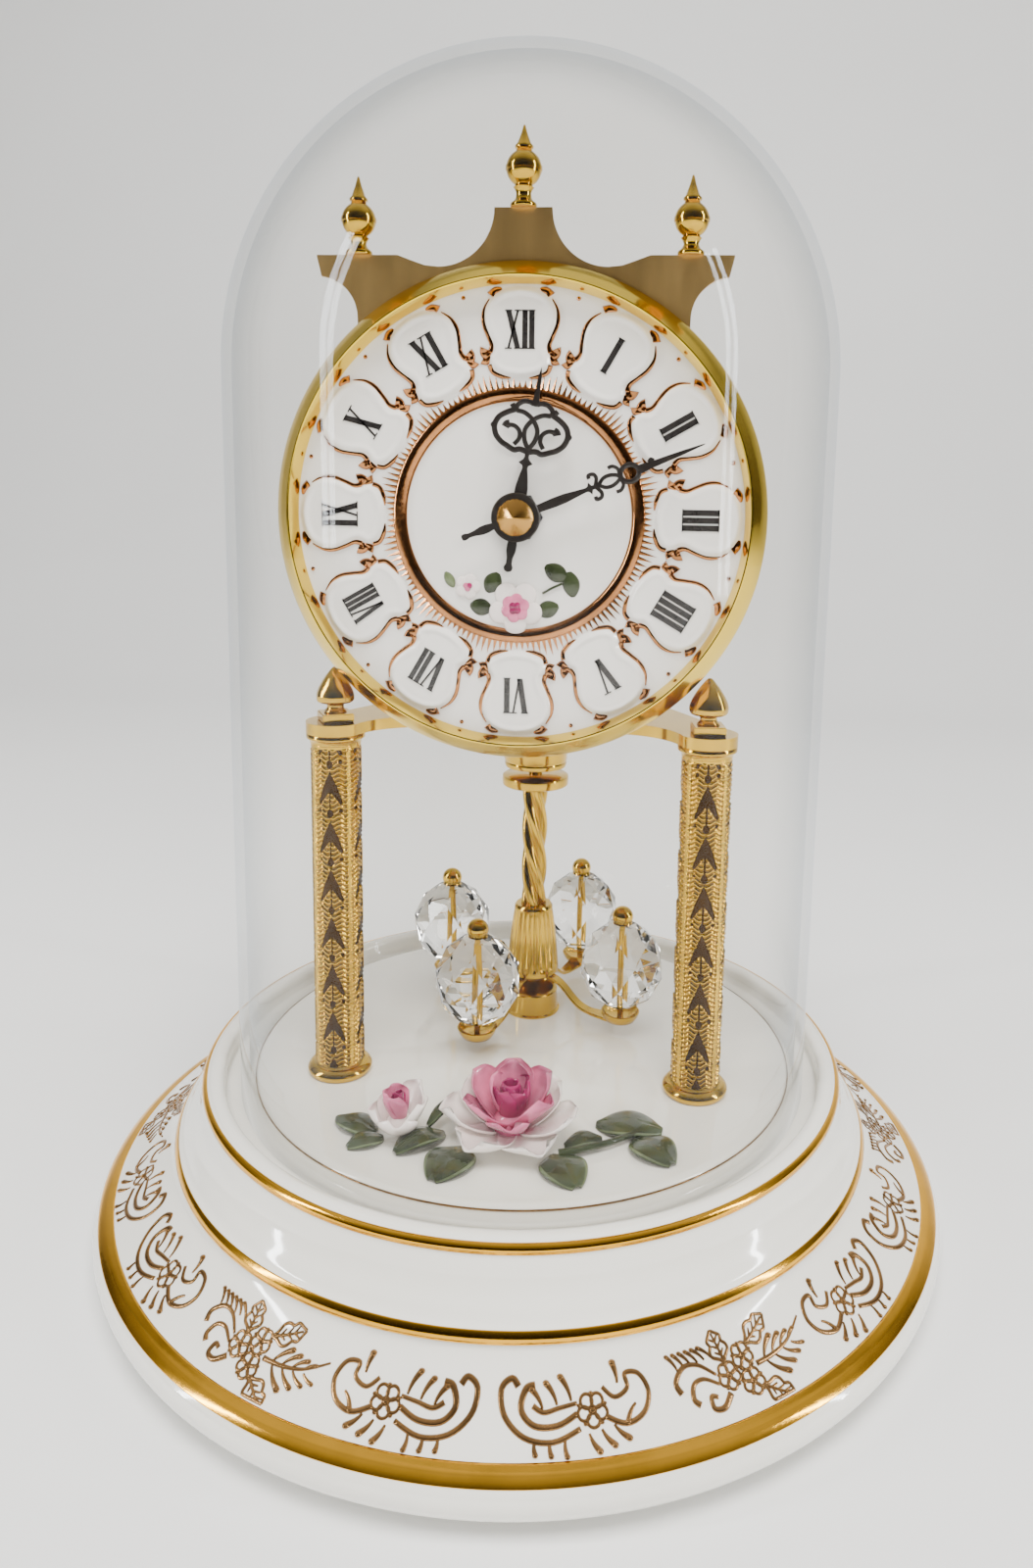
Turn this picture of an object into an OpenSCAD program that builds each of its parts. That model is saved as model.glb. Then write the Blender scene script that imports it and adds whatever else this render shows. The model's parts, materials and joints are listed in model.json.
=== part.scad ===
// Anniversary clock under a glass dome: porcelain base, two embossed brass columns, a brass drum
// with a porcelain dial, and a rotating pendulum with four crystal balls.
// Millimetres, +Z up, front of the clock towards -Y, origin on the table under the dome's axis.

/* [Base] */
// Widest radius of the porcelain base
base_r = 118.4; // [112:0.2:124]
// Height of the platform above the table
platform_z = 43; // [40:0.5:48]
// Thickness of the felt pad under the foot
pad_h = 1.2; // [0.8:0.1:2]

/* [Dome] */
// Outer radius of the glass dome
dome_r = 80; // [79.8:0.1:80.2]
// Height of the dome's top above the table
dome_top = 312.8; // [306:0.2:320]
// Glass thickness
glass_t = 2.5; // [2:0.1:3]

/* [Columns] */
// Distance of each column from the middle
column_x = 49; // [48:0.5:51]
// Outer radius of a column tube
column_r = 6.7; // [6.2:0.1:7]
// Distance from the dome's axis to the column line in front, and to the pendulum behind
offset_y = 21.4; // [20:0.2:22]
// Underside of the plate across the column tops
plate_z = 139; // [136:0.5:140]

/* [Head] */
// Height of the hand arbor above the table
head_z = 196.5; // [196:0.1:197]
// Outer radius of the bezel
bezel_r = 61; // [60.5:0.1:62]
// Outer radius of the drum
drum_r = 53.5; // [53:0.1:53.8]

/* [Hands] */
// Length of the minute hand
minute_len = 49.5; // [40:0.5:52]
// Length of the hour hand
hour_len = 36.4; // [28:0.5:40]

/* [Pendulum] */
// Distance of each crystal from the pendulum's axis
arm_r = 30.7; // [29:0.1:31]
// Diameter of a crystal
crystal_d = 24; // [20:0.5:25]

/* [Hidden] */
$fn = 96;
slim = 48;

// Angles that the hands show, clockwise from twelve
minute_angle = 68;
hour_angle = 9;
// Rest angle of the first pendulum arm
arm_angle = -25;
running = 0.05;

// Layers along Y, front to back
crest_y = -33.7;
rim_y = -28.7;
dial_y = -28.5;
crown_y = -26;
flange_y = -25;
drum_back = 36;
cover_y = 37.2;
front_plate_y = -24;
back_plate_y = -8;

// Base and dome
wall_t = 4.5;
groove_in = 76;
groove_out = 84.2;
groove_z = platform_z - 4;
foot_in = 102;
foot_out = 109;
dome_straight = dome_top - dome_r - 0.9;

// Column stack
foot_h = 3;
cap_h = 2.8;
plate_t = 3;
plate_top = plate_z + plate_t;
nut_h = 2.3;
rod_r = 2;
acorn_z = plate_top + nut_h;

// Pendulum stack
neck_r = 9.5;
neck_z = 121;
disc_z = 115.1;
disc_h = 3.2;
disc_r = 10;
stem_z = 77.4;
stem_r = 3.9;
cone_z = 55.4;
cone_bottom_r = 7.9;
cone_top_r = 5.8;
crystal_z = 64.5;
saucer_z = 47.3;
cup_r = 7.9;
cup_h = 7;
spindle_r = 2;
spindle_top = 152;
wire_r = 0.3;

// Crown and spires
crown_t = 1;
shoulder_z = 259.2;
peak_z = 270.2;
spire_x = 40.4;

// Movement: arbor places relative to the hand arbor, as [right, up]
m_motion = 0.4;
m_train = 0.3;
minute_at = [12, 0];
setting_at = [23.4, 0];
third_at = [-7.64, 7.64];
seconds_at = [-0.4, 14.86];
between_at = [9.5, 18.4];
rotor_at = [20.3, 18.4];
pivot_r = 0.6;
bush_r = 4;
hour_tube_r = 2.6;
arbor_r = 1.6;

// Battery: a standard AA cell
cell_r = 7.25;
cell_len = 50.5;
cell_z = head_z + 27;
cell_y = 26.5;

// ---- helpers ----

// Children drawn as a profile of [radius, depth] turn about the hand arbor, depth towards -Y
module about_arbor(at = [0, 0]) {
    translate([at[0], 0, head_z + at[1]]) rotate([90, 0, 0]) children();
}

// Cylinder along Y from y0 back to y1, centred on an arbor place
module rod_y(r, y0, y1, at = [0, 0], fn = slim) {
    about_arbor(at) translate([0, 0, -y1]) cylinder(r = r, h = y1 - y0, $fn = fn);
}

module ring_z(outer, inner, h) {
    difference() {
        cylinder(r = outer, h = h);
        translate([0, 0, -1]) cylinder(r = inner, h = h + 2);
    }
}

module at_columns() {
    for (side = [-1, 1]) translate([side * column_x, -offset_y, 0]) children();
}

module at_pendulum() {
    translate([0, offset_y, 0]) children();
}

module at_crystals() {
    at_pendulum() for (i = [0:3]) rotate([0, 0, arm_angle + 90 * i]) translate([arm_r, 0, 0]) children();
}

// Toothed outline; the tips stop short of the pitch circle so that wheels never touch
function tooth_points(teeth, pitch_r) = [
    for (i = [0:teeth - 1], k = [0, 1])
        let (a = 360 * (i + k / 2) / teeth, r = pitch_r - (k == 0 ? 0.16 : 0.55)) [r * cos(a), r * sin(a)]
];

// Wheel of the given number of teeth between two depths
module wheel(teeth, module_size, y0, y1, at) {
    about_arbor(at) translate([0, 0, -y1])
        linear_extrude(height = y1 - y0) polygon(tooth_points(teeth, teeth * module_size / 2));
}

// ---- porcelain base ----

// Outer profile from the groove's edge, over the shoulder, the bead and the flare, to the foot
function base_profile() = concat(
    [[groove_out, groove_z], [groove_out, platform_z - 0.4]],
    [for (a = [160:-20:20]) [groove_out + 2.9 + 2.9 * cos(a), platform_z - 0.4 + 1.8 * sin(a)]],
    [[89.9, 41.6], [90.3, 39.4], [91.1, 36.6], [92.6, 33.6], [94.6, 31.2], [95.9, 28.8], [96.9, 26.4]],
    [[98.6, 24], [101.6, 21.2], [105.2, 18.6], [109, 16.2], [112.4, 14.3]],
    [for (a = [70:-20:-70]) [base_r - 6.2 + 6.2 * cos(a), 8.6 + 5.6 * sin(a)]],
    [[foot_out, pad_h], [foot_in, pad_h]]
);

// Hollow underside, a wall's thickness inside the outer profile
function cavity_profile() = [
    [foot_in, pad_h - 1], [foot_in + 2, 6], [104, 12], [96.5, 17.5], [91.5, 24], [87.5, 32],
    [84.5, groove_z - 5], [70, groove_z - 5], [68, platform_z - 5], [0, platform_z - 5], [0, pad_h - 1]
];

module base_shell() color("ivory") {
    difference() {
        rotate_extrude($fn = 180) polygon(concat(
            [[0, platform_z], [groove_in - 1.2, platform_z], [groove_in - 0.3, platform_z - 0.4],
             [groove_in, platform_z - 1.3], [groove_in, groove_z]],
            base_profile(), [[foot_in, 3], [0, 3]]
        ));
        rotate_extrude($fn = 180) polygon(cavity_profile());
        at_columns() translate([0, 0, platform_z - 8]) cylinder(r = rod_r + 0.3, h = 12, $fn = slim);
        at_pendulum() translate([0, 0, platform_z - 8]) cylinder(r = 1.7, h = 12, $fn = slim);
    }
}

module base_pad() color("darkgreen") ring_z(foot_out - 0.5, foot_in + 0.5, pad_h);

// ---- columns ----

module column(side) color("gold") {
    translate([side * column_x, -offset_y, platform_z]) ring_z(column_r, column_r - 0.8, plate_z - cap_h - platform_z);
}

// Rounded ring round the foot of each column
module column_feet() color("gold") {
    at_columns() translate([0, 0, platform_z]) rotate_extrude() polygon(concat(
        [[column_r, 0], [8.2, 0]],
        [for (a = [-60:20:80]) [7.2 + 1.35 * cos(a), 1.6 + 1.3 * sin(a)]],
        [[column_r, foot_h]]
    ));
}

// Flared lip on top of each column, with a spigot inside the tube
module column_caps() color("gold") {
    at_columns() difference() {
        translate([0, 0, plate_z - cap_h]) union() {
            rotate_extrude() polygon([[0, 0], [column_r, 0], [column_r + 0.1, 0.6], [7.7, 1.5], [7.7, cap_h], [0, cap_h]]);
            translate([0, 0, -5]) cylinder(r = column_r - 0.8, h = 5);
        }
        translate([0, 0, plate_z - 12]) cylinder(r = rod_r, h = 14, $fn = slim);
    }
}

// Threaded rods that clamp base, tubes and plate together
module tie_rods() color("silver") {
    at_columns() translate([0, 0, platform_z - 12]) cylinder(r = rod_r, h = acorn_z + 8 - platform_z + 12, $fn = slim);
}

// Flanged hexagon nuts under the platform
module base_nuts() color("silver") {
    at_columns() translate([0, 0, platform_z - 5]) difference() {
        union() {
            translate([0, 0, -1.5]) cylinder(r = 8, h = 1.5);
            translate([0, 0, -5]) cylinder(r = 4.1, h = 3.6, $fn = 6);
        }
        translate([0, 0, -6]) cylinder(r = rod_r, h = 8, $fn = slim);
    }
}

module plate_outline() {
    difference() {
        union() {
            for (side = [0, 1]) mirror([side, 0]) {
                translate([column_x, -offset_y]) circle(r = 7.8);
                polygon([[55.4, -18.4], [34, 20], [22, 30], [22, -8], [44.4, -26.6]]);
            }
            translate([-24, -8]) square([48, 42]);
        }
        for (side = [-1, 1]) {
            translate([side * 25.6, -30.5]) circle(r = 17.6);
            translate([side * column_x, -offset_y]) circle(r = rod_r, $fn = slim);
        }
        translate([0, offset_y]) circle(r = 6);
        for (x = [-11, 11], y = [0, 12]) translate([x, y]) circle(r = 1.25, $fn = slim);
    }
}

module support_plate() color("gold") {
    translate([0, 0, plate_z]) linear_extrude(height = plate_t) plate_outline();
}

module square_nuts() color("gold") {
    for (side = [-1, 1]) translate([side * column_x, -offset_y, plate_top]) rotate([0, 0, side < 0 ? 28 : 6])
        difference() {
            translate([-4.1, -4.1, 0]) cube([8.2, 8.2, nut_h]);
            translate([0, 0, -1]) cylinder(r = rod_r, h = nut_h + 2, $fn = slim);
        }
}

module acorn_finials() color("gold") {
    at_columns() translate([0, 0, acorn_z]) difference() {
        rotate_extrude() polygon(concat(
            [[0, 0], [2.9, 0], [2.9, 0.5], [2.2, 1.1], [2.2, 2], [3, 2.9], [3, 3.4]],
            [for (a = [-20:20:80]) [5.1 * cos(a), 5 + 7 * sin(a) * (a > 0 ? 1 : 0.5)]],
            [[0, 12.1]]
        ));
        translate([0, 0, -1]) cylinder(r = rod_r, h = 9, $fn = slim);
    }
}

// ---- guide cup and porcelain flowers ----

// Open brass cup that keeps the pendulum's pin in the middle
module guide_cup() color("gold") {
    at_pendulum() translate([0, 0, platform_z]) difference() {
        rotate_extrude() polygon([[0, 0], [cup_r + 0.6, 0], [cup_r + 0.6, 0.7], [cup_r - 0.2, 1],
            [cup_r - 0.5, cup_h], [cup_r - 1.5, cup_h], [cup_r - 1.7, 1.8], [0, 1.8]]);
        translate([0, 0, -1]) cylinder(r = 1.5, h = 4, $fn = slim);
    }
}

module cup_screw() color("silver") {
    at_pendulum() translate([0, 0, platform_z - 7.2]) {
        cylinder(r = 1.5, h = 8.8, $fn = slim);
        difference() {
            cylinder(r = 3, h = 2.2, $fn = slim);
            translate([-4, -0.4, -1]) cube([8, 0.8, 1.6]);
        }
    }
}

// Ring of petals round the middle of a flower, each leaning inwards by the given angle
module petal_ring(count, turn, out, petal_r, lean, up) {
    for (i = [0:count - 1]) rotate([0, 0, turn + 360 * i / count]) translate([out, 0, up])
        rotate([0, -lean, 0]) cylinder(r = petal_r, h = 1.1, $fn = 12);
}

module large_rose() color("pink") {
    translate([2.2, -48, platform_z]) {
        petal_ring(5, 18, 10.6, 6.8, 33, 4.3);
        petal_ring(4, 50, 6.4, 5.2, 61, 8);
        cylinder(r = 6, h = 10.3, $fn = 10);
        cylinder(r = 3.1, h = 13.4, $fn = 7);
    }
}

module rose_bud() color("pink") {
    translate([-25.5, -51, platform_z]) {
        petal_ring(4, 10, 5.2, 4.3, 55, 5);
        cylinder(r = 4, h = 10.4, $fn = 9);
        cylinder(r = 2.1, h = 13, $fn = 7);
    }
}

// Places, turns, lengths and widths of the leaves, as [x, y, turn, length, width]
leaves = [[-36.3, -50.5, 165, 12, 8.5], [-18.2, -55, 225, 11, 7], [-10.8, -62, 248, 13.5, 11],
          [16.8, -62.2, 300, 12.5, 10], [31.8, -42.2, 352, 15.5, 10], [38, -52.4, 310, 12.5, 9.5]];

// Pointed outline from two equal arcs
module leaf_outline(length, width) {
    arc_r = (length * length / 4 + width * width / 4) / width;
    intersection_for (side = [-1, 1]) translate([0, side * (arc_r - width / 2)]) circle(r = arc_r);
}

module rose_leaves() color("darkolivegreen") {
    for (leaf = leaves) translate([leaf[0], leaf[1], platform_z]) rotate([0, 0, leaf[2]])
        linear_extrude(height = 2) leaf_outline(leaf[3], leaf[4]);
}

// ---- drum, bezel, dial and crown ----

module neck_bush() color("gold") {
    at_pendulum() difference() {
        union() {
            translate([0, 0, neck_z]) cylinder(r = neck_r, h = plate_z - neck_z);
            translate([0, 0, plate_z - 1]) cylinder(r = 6, h = 7.5);
        }
        translate([0, 0, neck_z - 1]) cylinder(r = spindle_r + running, h = 30, $fn = slim);
    }
}

// Block that carries the drum on the plate
module case_saddle() color("gold") {
    difference() {
        translate([-17, -4, plate_top]) cube([34, 37, 6]);
        rod_y(drum_r, -10, 40, fn = 180);
        at_pendulum() translate([0, 0, plate_top - 1]) cylinder(r = 6, h = 10);
        saddle_screw_holes();
    }
}

module at_saddle_screws() {
    for (x = [-11, 11], y = [0, 12]) translate([x, y, 0]) children();
}

module saddle_screw_holes() {
    at_saddle_screws() translate([0, 0, plate_z - 3]) cylinder(r = 1.25, h = 14, $fn = slim);
}

module drum_case() color("gold") {
    difference() {
        union() {
            rod_y(drum_r, flange_y, drum_back, fn = 180);
            rod_y(60, flange_y, flange_y + 1, fn = 180);
        }
        rod_y(drum_r - 1, flange_y - 1, drum_back + 1, fn = 180);
        at_pendulum() translate([0, 0, 135]) cylinder(r = 6, h = 20);
        saddle_screw_holes();
    }
    cover_lugs();
}

// Lugs inside the drum that take the rear cover's three screws
module cover_lugs() {
    for (at = cover_screws_at) difference() {
        rod_y(3, drum_back - 8, drum_back, at);
        rod_y(1.25, drum_back - 9, drum_back + 1, at);
    }
}

// Identical screws: four hold the saddle and the drum, three hold the rear cover
module small_screw() {
    cylinder(r = 1.25, h = 6.2, $fn = slim);
    translate([0, 0, 6.2]) difference() {
        cylinder(r = 2.4, h = 1.5, $fn = slim);
        translate([-3, -0.3, 0.8]) cube([6, 0.6, 1]);
    }
}

cover_screws_at = [for (a = [90, 210, 330]) [49.7 * cos(a), 49.7 * sin(a)]];

module case_screws() color("silver") {
    at_saddle_screws() translate([0, 0, 145.8 - 6.2]) small_screw();
    for (at = cover_screws_at) about_arbor(at) translate([0, 0, -cover_y]) mirror([0, 0, 1]) translate([0, 0, -6.2]) small_screw();
}

// Outline of the pediment above the bezel
module crown_outline() {
    difference() {
        union() {
            translate([-50.9, 225]) square([101.8, shoulder_z - 225]);
            translate([-20.7, shoulder_z - 6]) square([41.4, peak_z - shoulder_z + 6]);
        }
        for (side = [-1, 1]) {
            translate([side * 20.7, peak_z]) circle(r = 13.7);
            translate([side * 52, 244.2]) circle(r = 10.8);
            translate([side * 41.2 - (side < 0 ? 15 : 0), 220]) square([15, 25]);
            polygon([[side * 50.9, shoulder_z + 0.1], [side * 52, shoulder_z + 0.1], [side * 52, 253], [side * 49.7, 253]]);
        }
        translate([0, head_z]) circle(r = 57.6, $fn = 180);
    }
}

module crown() color("gold") {
    difference() {
        translate([0, crown_y + crown_t, 0]) rotate([90, 0, 0]) linear_extrude(height = crown_t) crown_outline();
        translate([-60, crown_y - 1, 200]) cube([120, 3, 27]);
    }
}

module bezel() color("gold") {
    difference() {
        about_arbor() rotate_extrude($fn = 180) polygon([
            [57.6, -flange_y], [bezel_r, -flange_y], [bezel_r, -rim_y], [57.1, 33.6], [56.6, 33.6],
            [55.5, -dial_y], [57.6, -dial_y]
        ]);
        translate([0, flange_y, 0]) rotate([90, 0, 0]) linear_extrude(height = crown_t) crown_outline();
    }
}

module dial() color("white") {
    difference() {
        rod_y(57.5, dial_y, flange_y, fn = 180);
        rod_y(bush_r, dial_y - 1, flange_y + 1);
    }
}

module dial_nut() color("black") {
    difference() {
        rod_y(6.2, dial_y - 1.8, dial_y, fn = 6);
        rod_y(bush_r, dial_y - 3, dial_y + 1);
    }
}

// Turned finial: collar, waist, ball with a band, and a cone
module spire(neck_h, ball_r, cone_h) {
    ball_z = neck_h + ball_r;
    rotate_extrude($fn = slim) polygon(concat(
        [[0, -4], [1, -4], [1, 0], [3.2, 0], [3.2, 0.8], [2.2, 1.4], [1.8, 2.4], [2, neck_h]],
        [for (a = [-50:20:50]) [ball_r * cos(a), ball_z + ball_r * sin(a)]],
        [[2.2, ball_z + ball_r], [1.1, ball_z + ball_r + cone_h * 0.5], [0, ball_z + ball_r + cone_h]]
    ));
}

module centre_spire() color("gold") {
    difference() {
        translate([0, crown_y + crown_t / 2, peak_z]) spire(4.6, 4.3, 5.6);
        crown();
    }
}

module side_spires() color("gold") {
    difference() {
        for (side = [-1, 1]) translate([side * spire_x, crown_y + crown_t / 2, shoulder_z]) spire(4, 4.15, 6);
        crown();
    }
}

module door_outline(grow) {
    translate([-29 - grow, 17 - grow]) square([58 + 2 * grow, 20 + 2 * grow]);
}

module rear_cover() color("gold") {
    difference() {
        union() {
            rod_y(drum_r, drum_back, cover_y, fn = 180);
            rod_y(drum_r - 1.2, drum_back - 3, drum_back + 0.5, fn = 180);
        }
        rod_y(drum_r - 2.4, drum_back - 4, drum_back, fn = 180);
        for (at = cover_screws_at) {
            rod_y(1.25, drum_back - 5, cover_y + 1, at);
            rod_y(3.3, drum_back - 5, drum_back, at);
        }
        rod_y(3.4, drum_back - 5, cover_y + 1, setting_at);
        about_arbor() translate([0, 0, -cover_y - 1]) linear_extrude(height = 6) door_outline(0.4);
    }
}

// Door over the battery, lifted straight off to the back
module battery_door() color("gold") {
    about_arbor() translate([0, 0, -cover_y]) linear_extrude(height = cover_y - drum_back) door_outline(0);
    about_arbor() translate([0, 0, -cover_y - 1]) linear_extrude(height = 1) translate([-6, 19]) square([12, 2.5]);
}

// ---- quartz movement ----

movement_half = 30;

module movement_front() color("dimgray") {
    difference() {
        union() {
            translate([-movement_half, front_plate_y, head_z - 16]) cube([2 * movement_half, 2, 46]);
            rod_y(bush_r, dial_y - 2.1, front_plate_y + 1);
        }
        rod_y(hour_tube_r + running, dial_y - 4, front_plate_y + 3);
        for (at = [minute_at, setting_at, third_at, seconds_at, between_at, rotor_at])
            rod_y(pivot_r + running, front_plate_y - 1, front_plate_y + 3, at);
    }
}

module movement_back() color("dimgray") {
    difference() {
        translate([-movement_half, front_plate_y + 2, head_z - 16]) cube([2 * movement_half, back_plate_y - front_plate_y, 46]);
        translate([-movement_half + 1.5, front_plate_y + 1, head_z - 14.5])
            cube([2 * movement_half - 3, back_plate_y - front_plate_y - 0.5, 43]);
        for (at = [[0, 0], minute_at, third_at, seconds_at, between_at, rotor_at])
            rod_y(pivot_r + running, back_plate_y - 1, back_plate_y + 3, at);
        rod_y(1.5 + running, back_plate_y - 1, back_plate_y + 3, setting_at);
    }
}

module circuit_board() color("seagreen") {
    translate([-27, -10.6, head_z - 13]) cube([22, 1.2, 18]);
    translate([-22, -12.2, head_z - 8]) cube([7, 1.6, 7]);
}

module stator() color("silver") {
    difference() {
        translate([-4, -12.2, head_z + 13.4]) cube([30, 1, 12.6]);
        rod_y(3.7, -14, -10, rotor_at);
        rod_y(1.1, -14, -10, between_at);
        rod_y(1.1, -14, -10, seconds_at);
        translate([-5, -13, head_z + 12]) cube([19, 3, 9.4]);
    }
}

// Coil on its bobbin beside the stator
module motor_coil() color("darkorange") {
    translate([-26, -13, head_z + 24]) rotate([0, 90, 0]) cylinder(r = 3.2, h = 15, $fn = slim);
    for (x = [-27.5, -11]) translate([x, -16.6, head_z + 20.4]) cube([1.5, 7, 7.2]);
}

module battery() color("steelblue") {
    translate([-cell_len / 2, cell_y, cell_z]) rotate([0, 90, 0]) {
        cylinder(r = cell_r, h = cell_len - 1);
        cylinder(r = 2.75, h = cell_len, $fn = slim);
    }
}

module battery_holder() color("dimgray") {
    difference() {
        translate([-29, cell_y - 9.5, cell_z - 9]) cube([58, 15, 18]);
        translate([-26.6, cell_y, cell_z]) rotate([0, 90, 0]) cylinder(r = cell_r + 0.15, h = 53.2);
        translate([-26.6, cell_y, cell_z - cell_r - 0.15]) cube([53.2, 12, 2 * cell_r + 0.3]);
    }
}

module battery_contacts() color("silver") {
    for (side = [-1, 1]) translate([side < 0 ? -26.6 : 26, cell_y - 3, cell_z - 4]) cube([0.6, 6, 8]);
    translate([-26, cell_y, cell_z]) rotate([0, 90, 0]) cylinder(r1 = 3, r2 = 2, h = cell_len / -2 + 26, $fn = slim);
    translate([cell_len / 2, cell_y, cell_z]) rotate([0, 90, 0]) cylinder(r = 2, h = 26 - cell_len / 2, $fn = slim);
}

module hour_wheel() color("gold") {
    difference() {
        union() {
            rod_y(hour_tube_r, dial_y - 4.2, -20.5);
            wheel(48, m_motion, -21.6, -20.6, [0, 0]);
        }
        rod_y(arbor_r + running, dial_y - 6, -19);
    }
}

module minute_arbor() color("gold") {
    rod_y(arbor_r, -34.8, -17.4);
    rod_y(pivot_r, -18, back_plate_y + 1.4);
    wheel(15, m_motion, -20, -18.8, [0, 0]);
}

module centre_wheel() color("gold") {
    difference() {
        wheel(64, m_train, -18.4, -17.6, [0, 0]);
        rod_y(arbor_r + running, -19, -17);
    }
}

// Wheel with its pinion on one arbor
module arbor_wheel(at, teeth, y_wheel, pinion_teeth, y_pinion, size) {
    wheel(teeth, size, y_wheel, y_wheel + 0.8, at);
    wheel(pinion_teeth, size, y_pinion, y_pinion + 1.2, at);
    rod_y(pivot_r, front_plate_y + 0.4, back_plate_y + 1.4, at);
}

module minute_wheel() color("gold") arbor_wheel(minute_at, 45, -19.8, 12, -21.7, m_motion);
module third_wheel() color("gold") arbor_wheel(third_at, 60, -16.5, 8, -18.6, m_train);
module seconds_wheel() color("gold") arbor_wheel(seconds_at, 60, -15.2, 8, -16.7, m_train);
module intermediate_wheel() color("gold") arbor_wheel(between_at, 60, -13.9, 10, -15.4, m_train);

module rotor() color("silver") {
    rod_y(pivot_r, front_plate_y + 0.4, back_plate_y + 1.4, rotor_at);
    wheel(12, m_train, -14.1, -12.9, rotor_at);
    rod_y(3.2, -12.6, -10.4, rotor_at);
}

// Knurled knob behind the cover, its shaft and the pinion that turns the minute wheel
module setting_knob() color("black") {
    rod_y(pivot_r, front_plate_y + 0.4, -21, setting_at);
    rod_y(1.5, -21, cover_y + 1, setting_at);
    wheel(12, m_motion, -20, -18.8, setting_at);
    difference() {
        rod_y(5, cover_y + 0.6, cover_y + 5, setting_at);
        for (i = [0:15]) rod_y(0.5, cover_y, cover_y + 6,
            [setting_at[0] + 5.1 * cos(22.5 * i), setting_at[1] + 5.1 * sin(22.5 * i)], 16);
    }
}

// ---- hands ----

// Children lie in the plane of the dial, pointing to twelve
module turned_hand(angle, y0, y1) {
    about_arbor() rotate([0, 0, -angle]) translate([0, 0, -y1]) linear_extrude(height = y1 - y0) children();
}

module hour_hand() color("black") {
    difference() {
        union() {
            turned_hand(hour_angle, -32.6, -31.8) {
                polygon([[-1.6, -12.8], [1.6, -12.8], [1, 0], [1, 14], [-1, 14], [-1, 0]]);
                difference() {
                    translate([0, 20.9]) scale(9.5) circle(r = 0.76);
                    for (side = [-1, 1]) translate([side * 3.2, 20.9]) circle(r = 2.4, $fn = slim);
                }
                polygon([[-1, 27], [1, 27], [0.8, 31], [0, hour_len], [-0.8, 31]]);
            }
            rod_y(5, -32.8, -31);
        }
        rod_y(hour_tube_r, -34, -30);
    }
}

module minute_hand() color("black") {
    difference() {
        union() {
            turned_hand(minute_angle, -34.7, -34.1) {
                polygon([[-1.4, -13.2], [1.4, -13.2], [0.9, 0], [0.9, 18], [-0.9, 18], [-0.9, 0]]);
                translate([0, 22.2]) circle(r = 4.6);
                difference() {
                    translate([0, 29.6]) circle(r = 3.4);
                    translate([0, 29.6]) circle(r = 2.1);
                }
                polygon([[-0.9, 32.4], [0.9, 32.4], [0.7, 40], [0, minute_len], [-0.7, 40]]);
            }
            rod_y(6.2, -34.9, -33.9);
        }
        rod_y(arbor_r, -36, -33);
    }
}

module hand_nut() color("gold") {
    difference() {
        about_arbor() translate([0, 0, 34.9]) rotate_extrude() polygon([[0, 0], [5.4, 0], [5.4, 0.8], [2.4, 3.4], [0, 3.8]]);
        rod_y(arbor_r, -34.8, -34);
    }
}

// ---- pendulum drive and pendulum ----

// Frame over the drive, which clamps the top of the torsion wire
module drive_bracket() color("silver") {
    at_pendulum() difference() {
        union() {
            for (side = [-1, 1]) translate([side * 14 - 1, -4, 146.3]) cube([2, 8, 31.7]);
            translate([-15, -4, 158.5]) cube([30, 8, 1.5]);
            translate([-15, -4, 175]) cube([30, 8, 3]);
        }
        translate([0, 0, 150]) cylinder(r = wire_r + 0.7, h = 20, $fn = slim);
        translate([0, 0, 170]) cylinder(r = wire_r + running, h = 10, $fn = slim);
    }
}

module drive_coil() color("darkorange") {
    at_pendulum() translate([0, 0, 154.5]) ring_z(9, 3, 4);
}

module drive_magnet() color("dimgray") {
    at_pendulum() translate([0, 0, 149]) ring_z(8.5, spindle_r, 3);
}

// Disc under the neck, with the spindle that turns in it
module hanger() color("gold") {
    at_pendulum() {
        translate([0, 0, disc_z]) cylinder(r = disc_r, h = disc_h);
        translate([0, 0, disc_z + 1]) cylinder(r = spindle_r, h = spindle_top - disc_z - 1, $fn = slim);
    }
}

module suspension_wire() color("silver") {
    at_pendulum() translate([0, 0, spindle_top]) cylinder(r = wire_r, h = 177.5 - spindle_top, $fn = slim);
}

module pendulum_stem() color("gold") {
    at_pendulum() translate([0, 0, stem_z]) cylinder(r = stem_r, h = disc_z - stem_z);
}

module pendulum_cone() color("gold") {
    at_pendulum() difference() {
        rotate_extrude() polygon([[0, cone_z], [cone_bottom_r - 0.5, cone_z], [cone_bottom_r, cone_z + 0.8],
            [7.7, 60], [6.9, 68], [cone_top_r, stem_z - 0.6], [cone_top_r - 0.8, stem_z], [0, stem_z]]);
        translate([0, 0, cone_z - 1]) cylinder(r = 1.5, h = 9, $fn = slim);
    }
}

// Pin that hangs into the guide cup
module guide_pin() color("gold") {
    at_pendulum() translate([0, 0, 47]) cylinder(r = 1.5, h = 16, $fn = slim);
}

// Side view of one strap, from the cone's underside down and out to its saucer
module strap_outline() {
    polygon([[0, 54], [5.5, 54], [9, 53.4], [12.5, 51.2], [16.5, 47.9], [20, 46.5], [27, 46.2], [27, 47.5],
             [20.5, 47.8], [17.3, 49], [13.3, 52.4], [9.6, 54.8], [6, cone_z], [0, cone_z]]);
}

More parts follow.
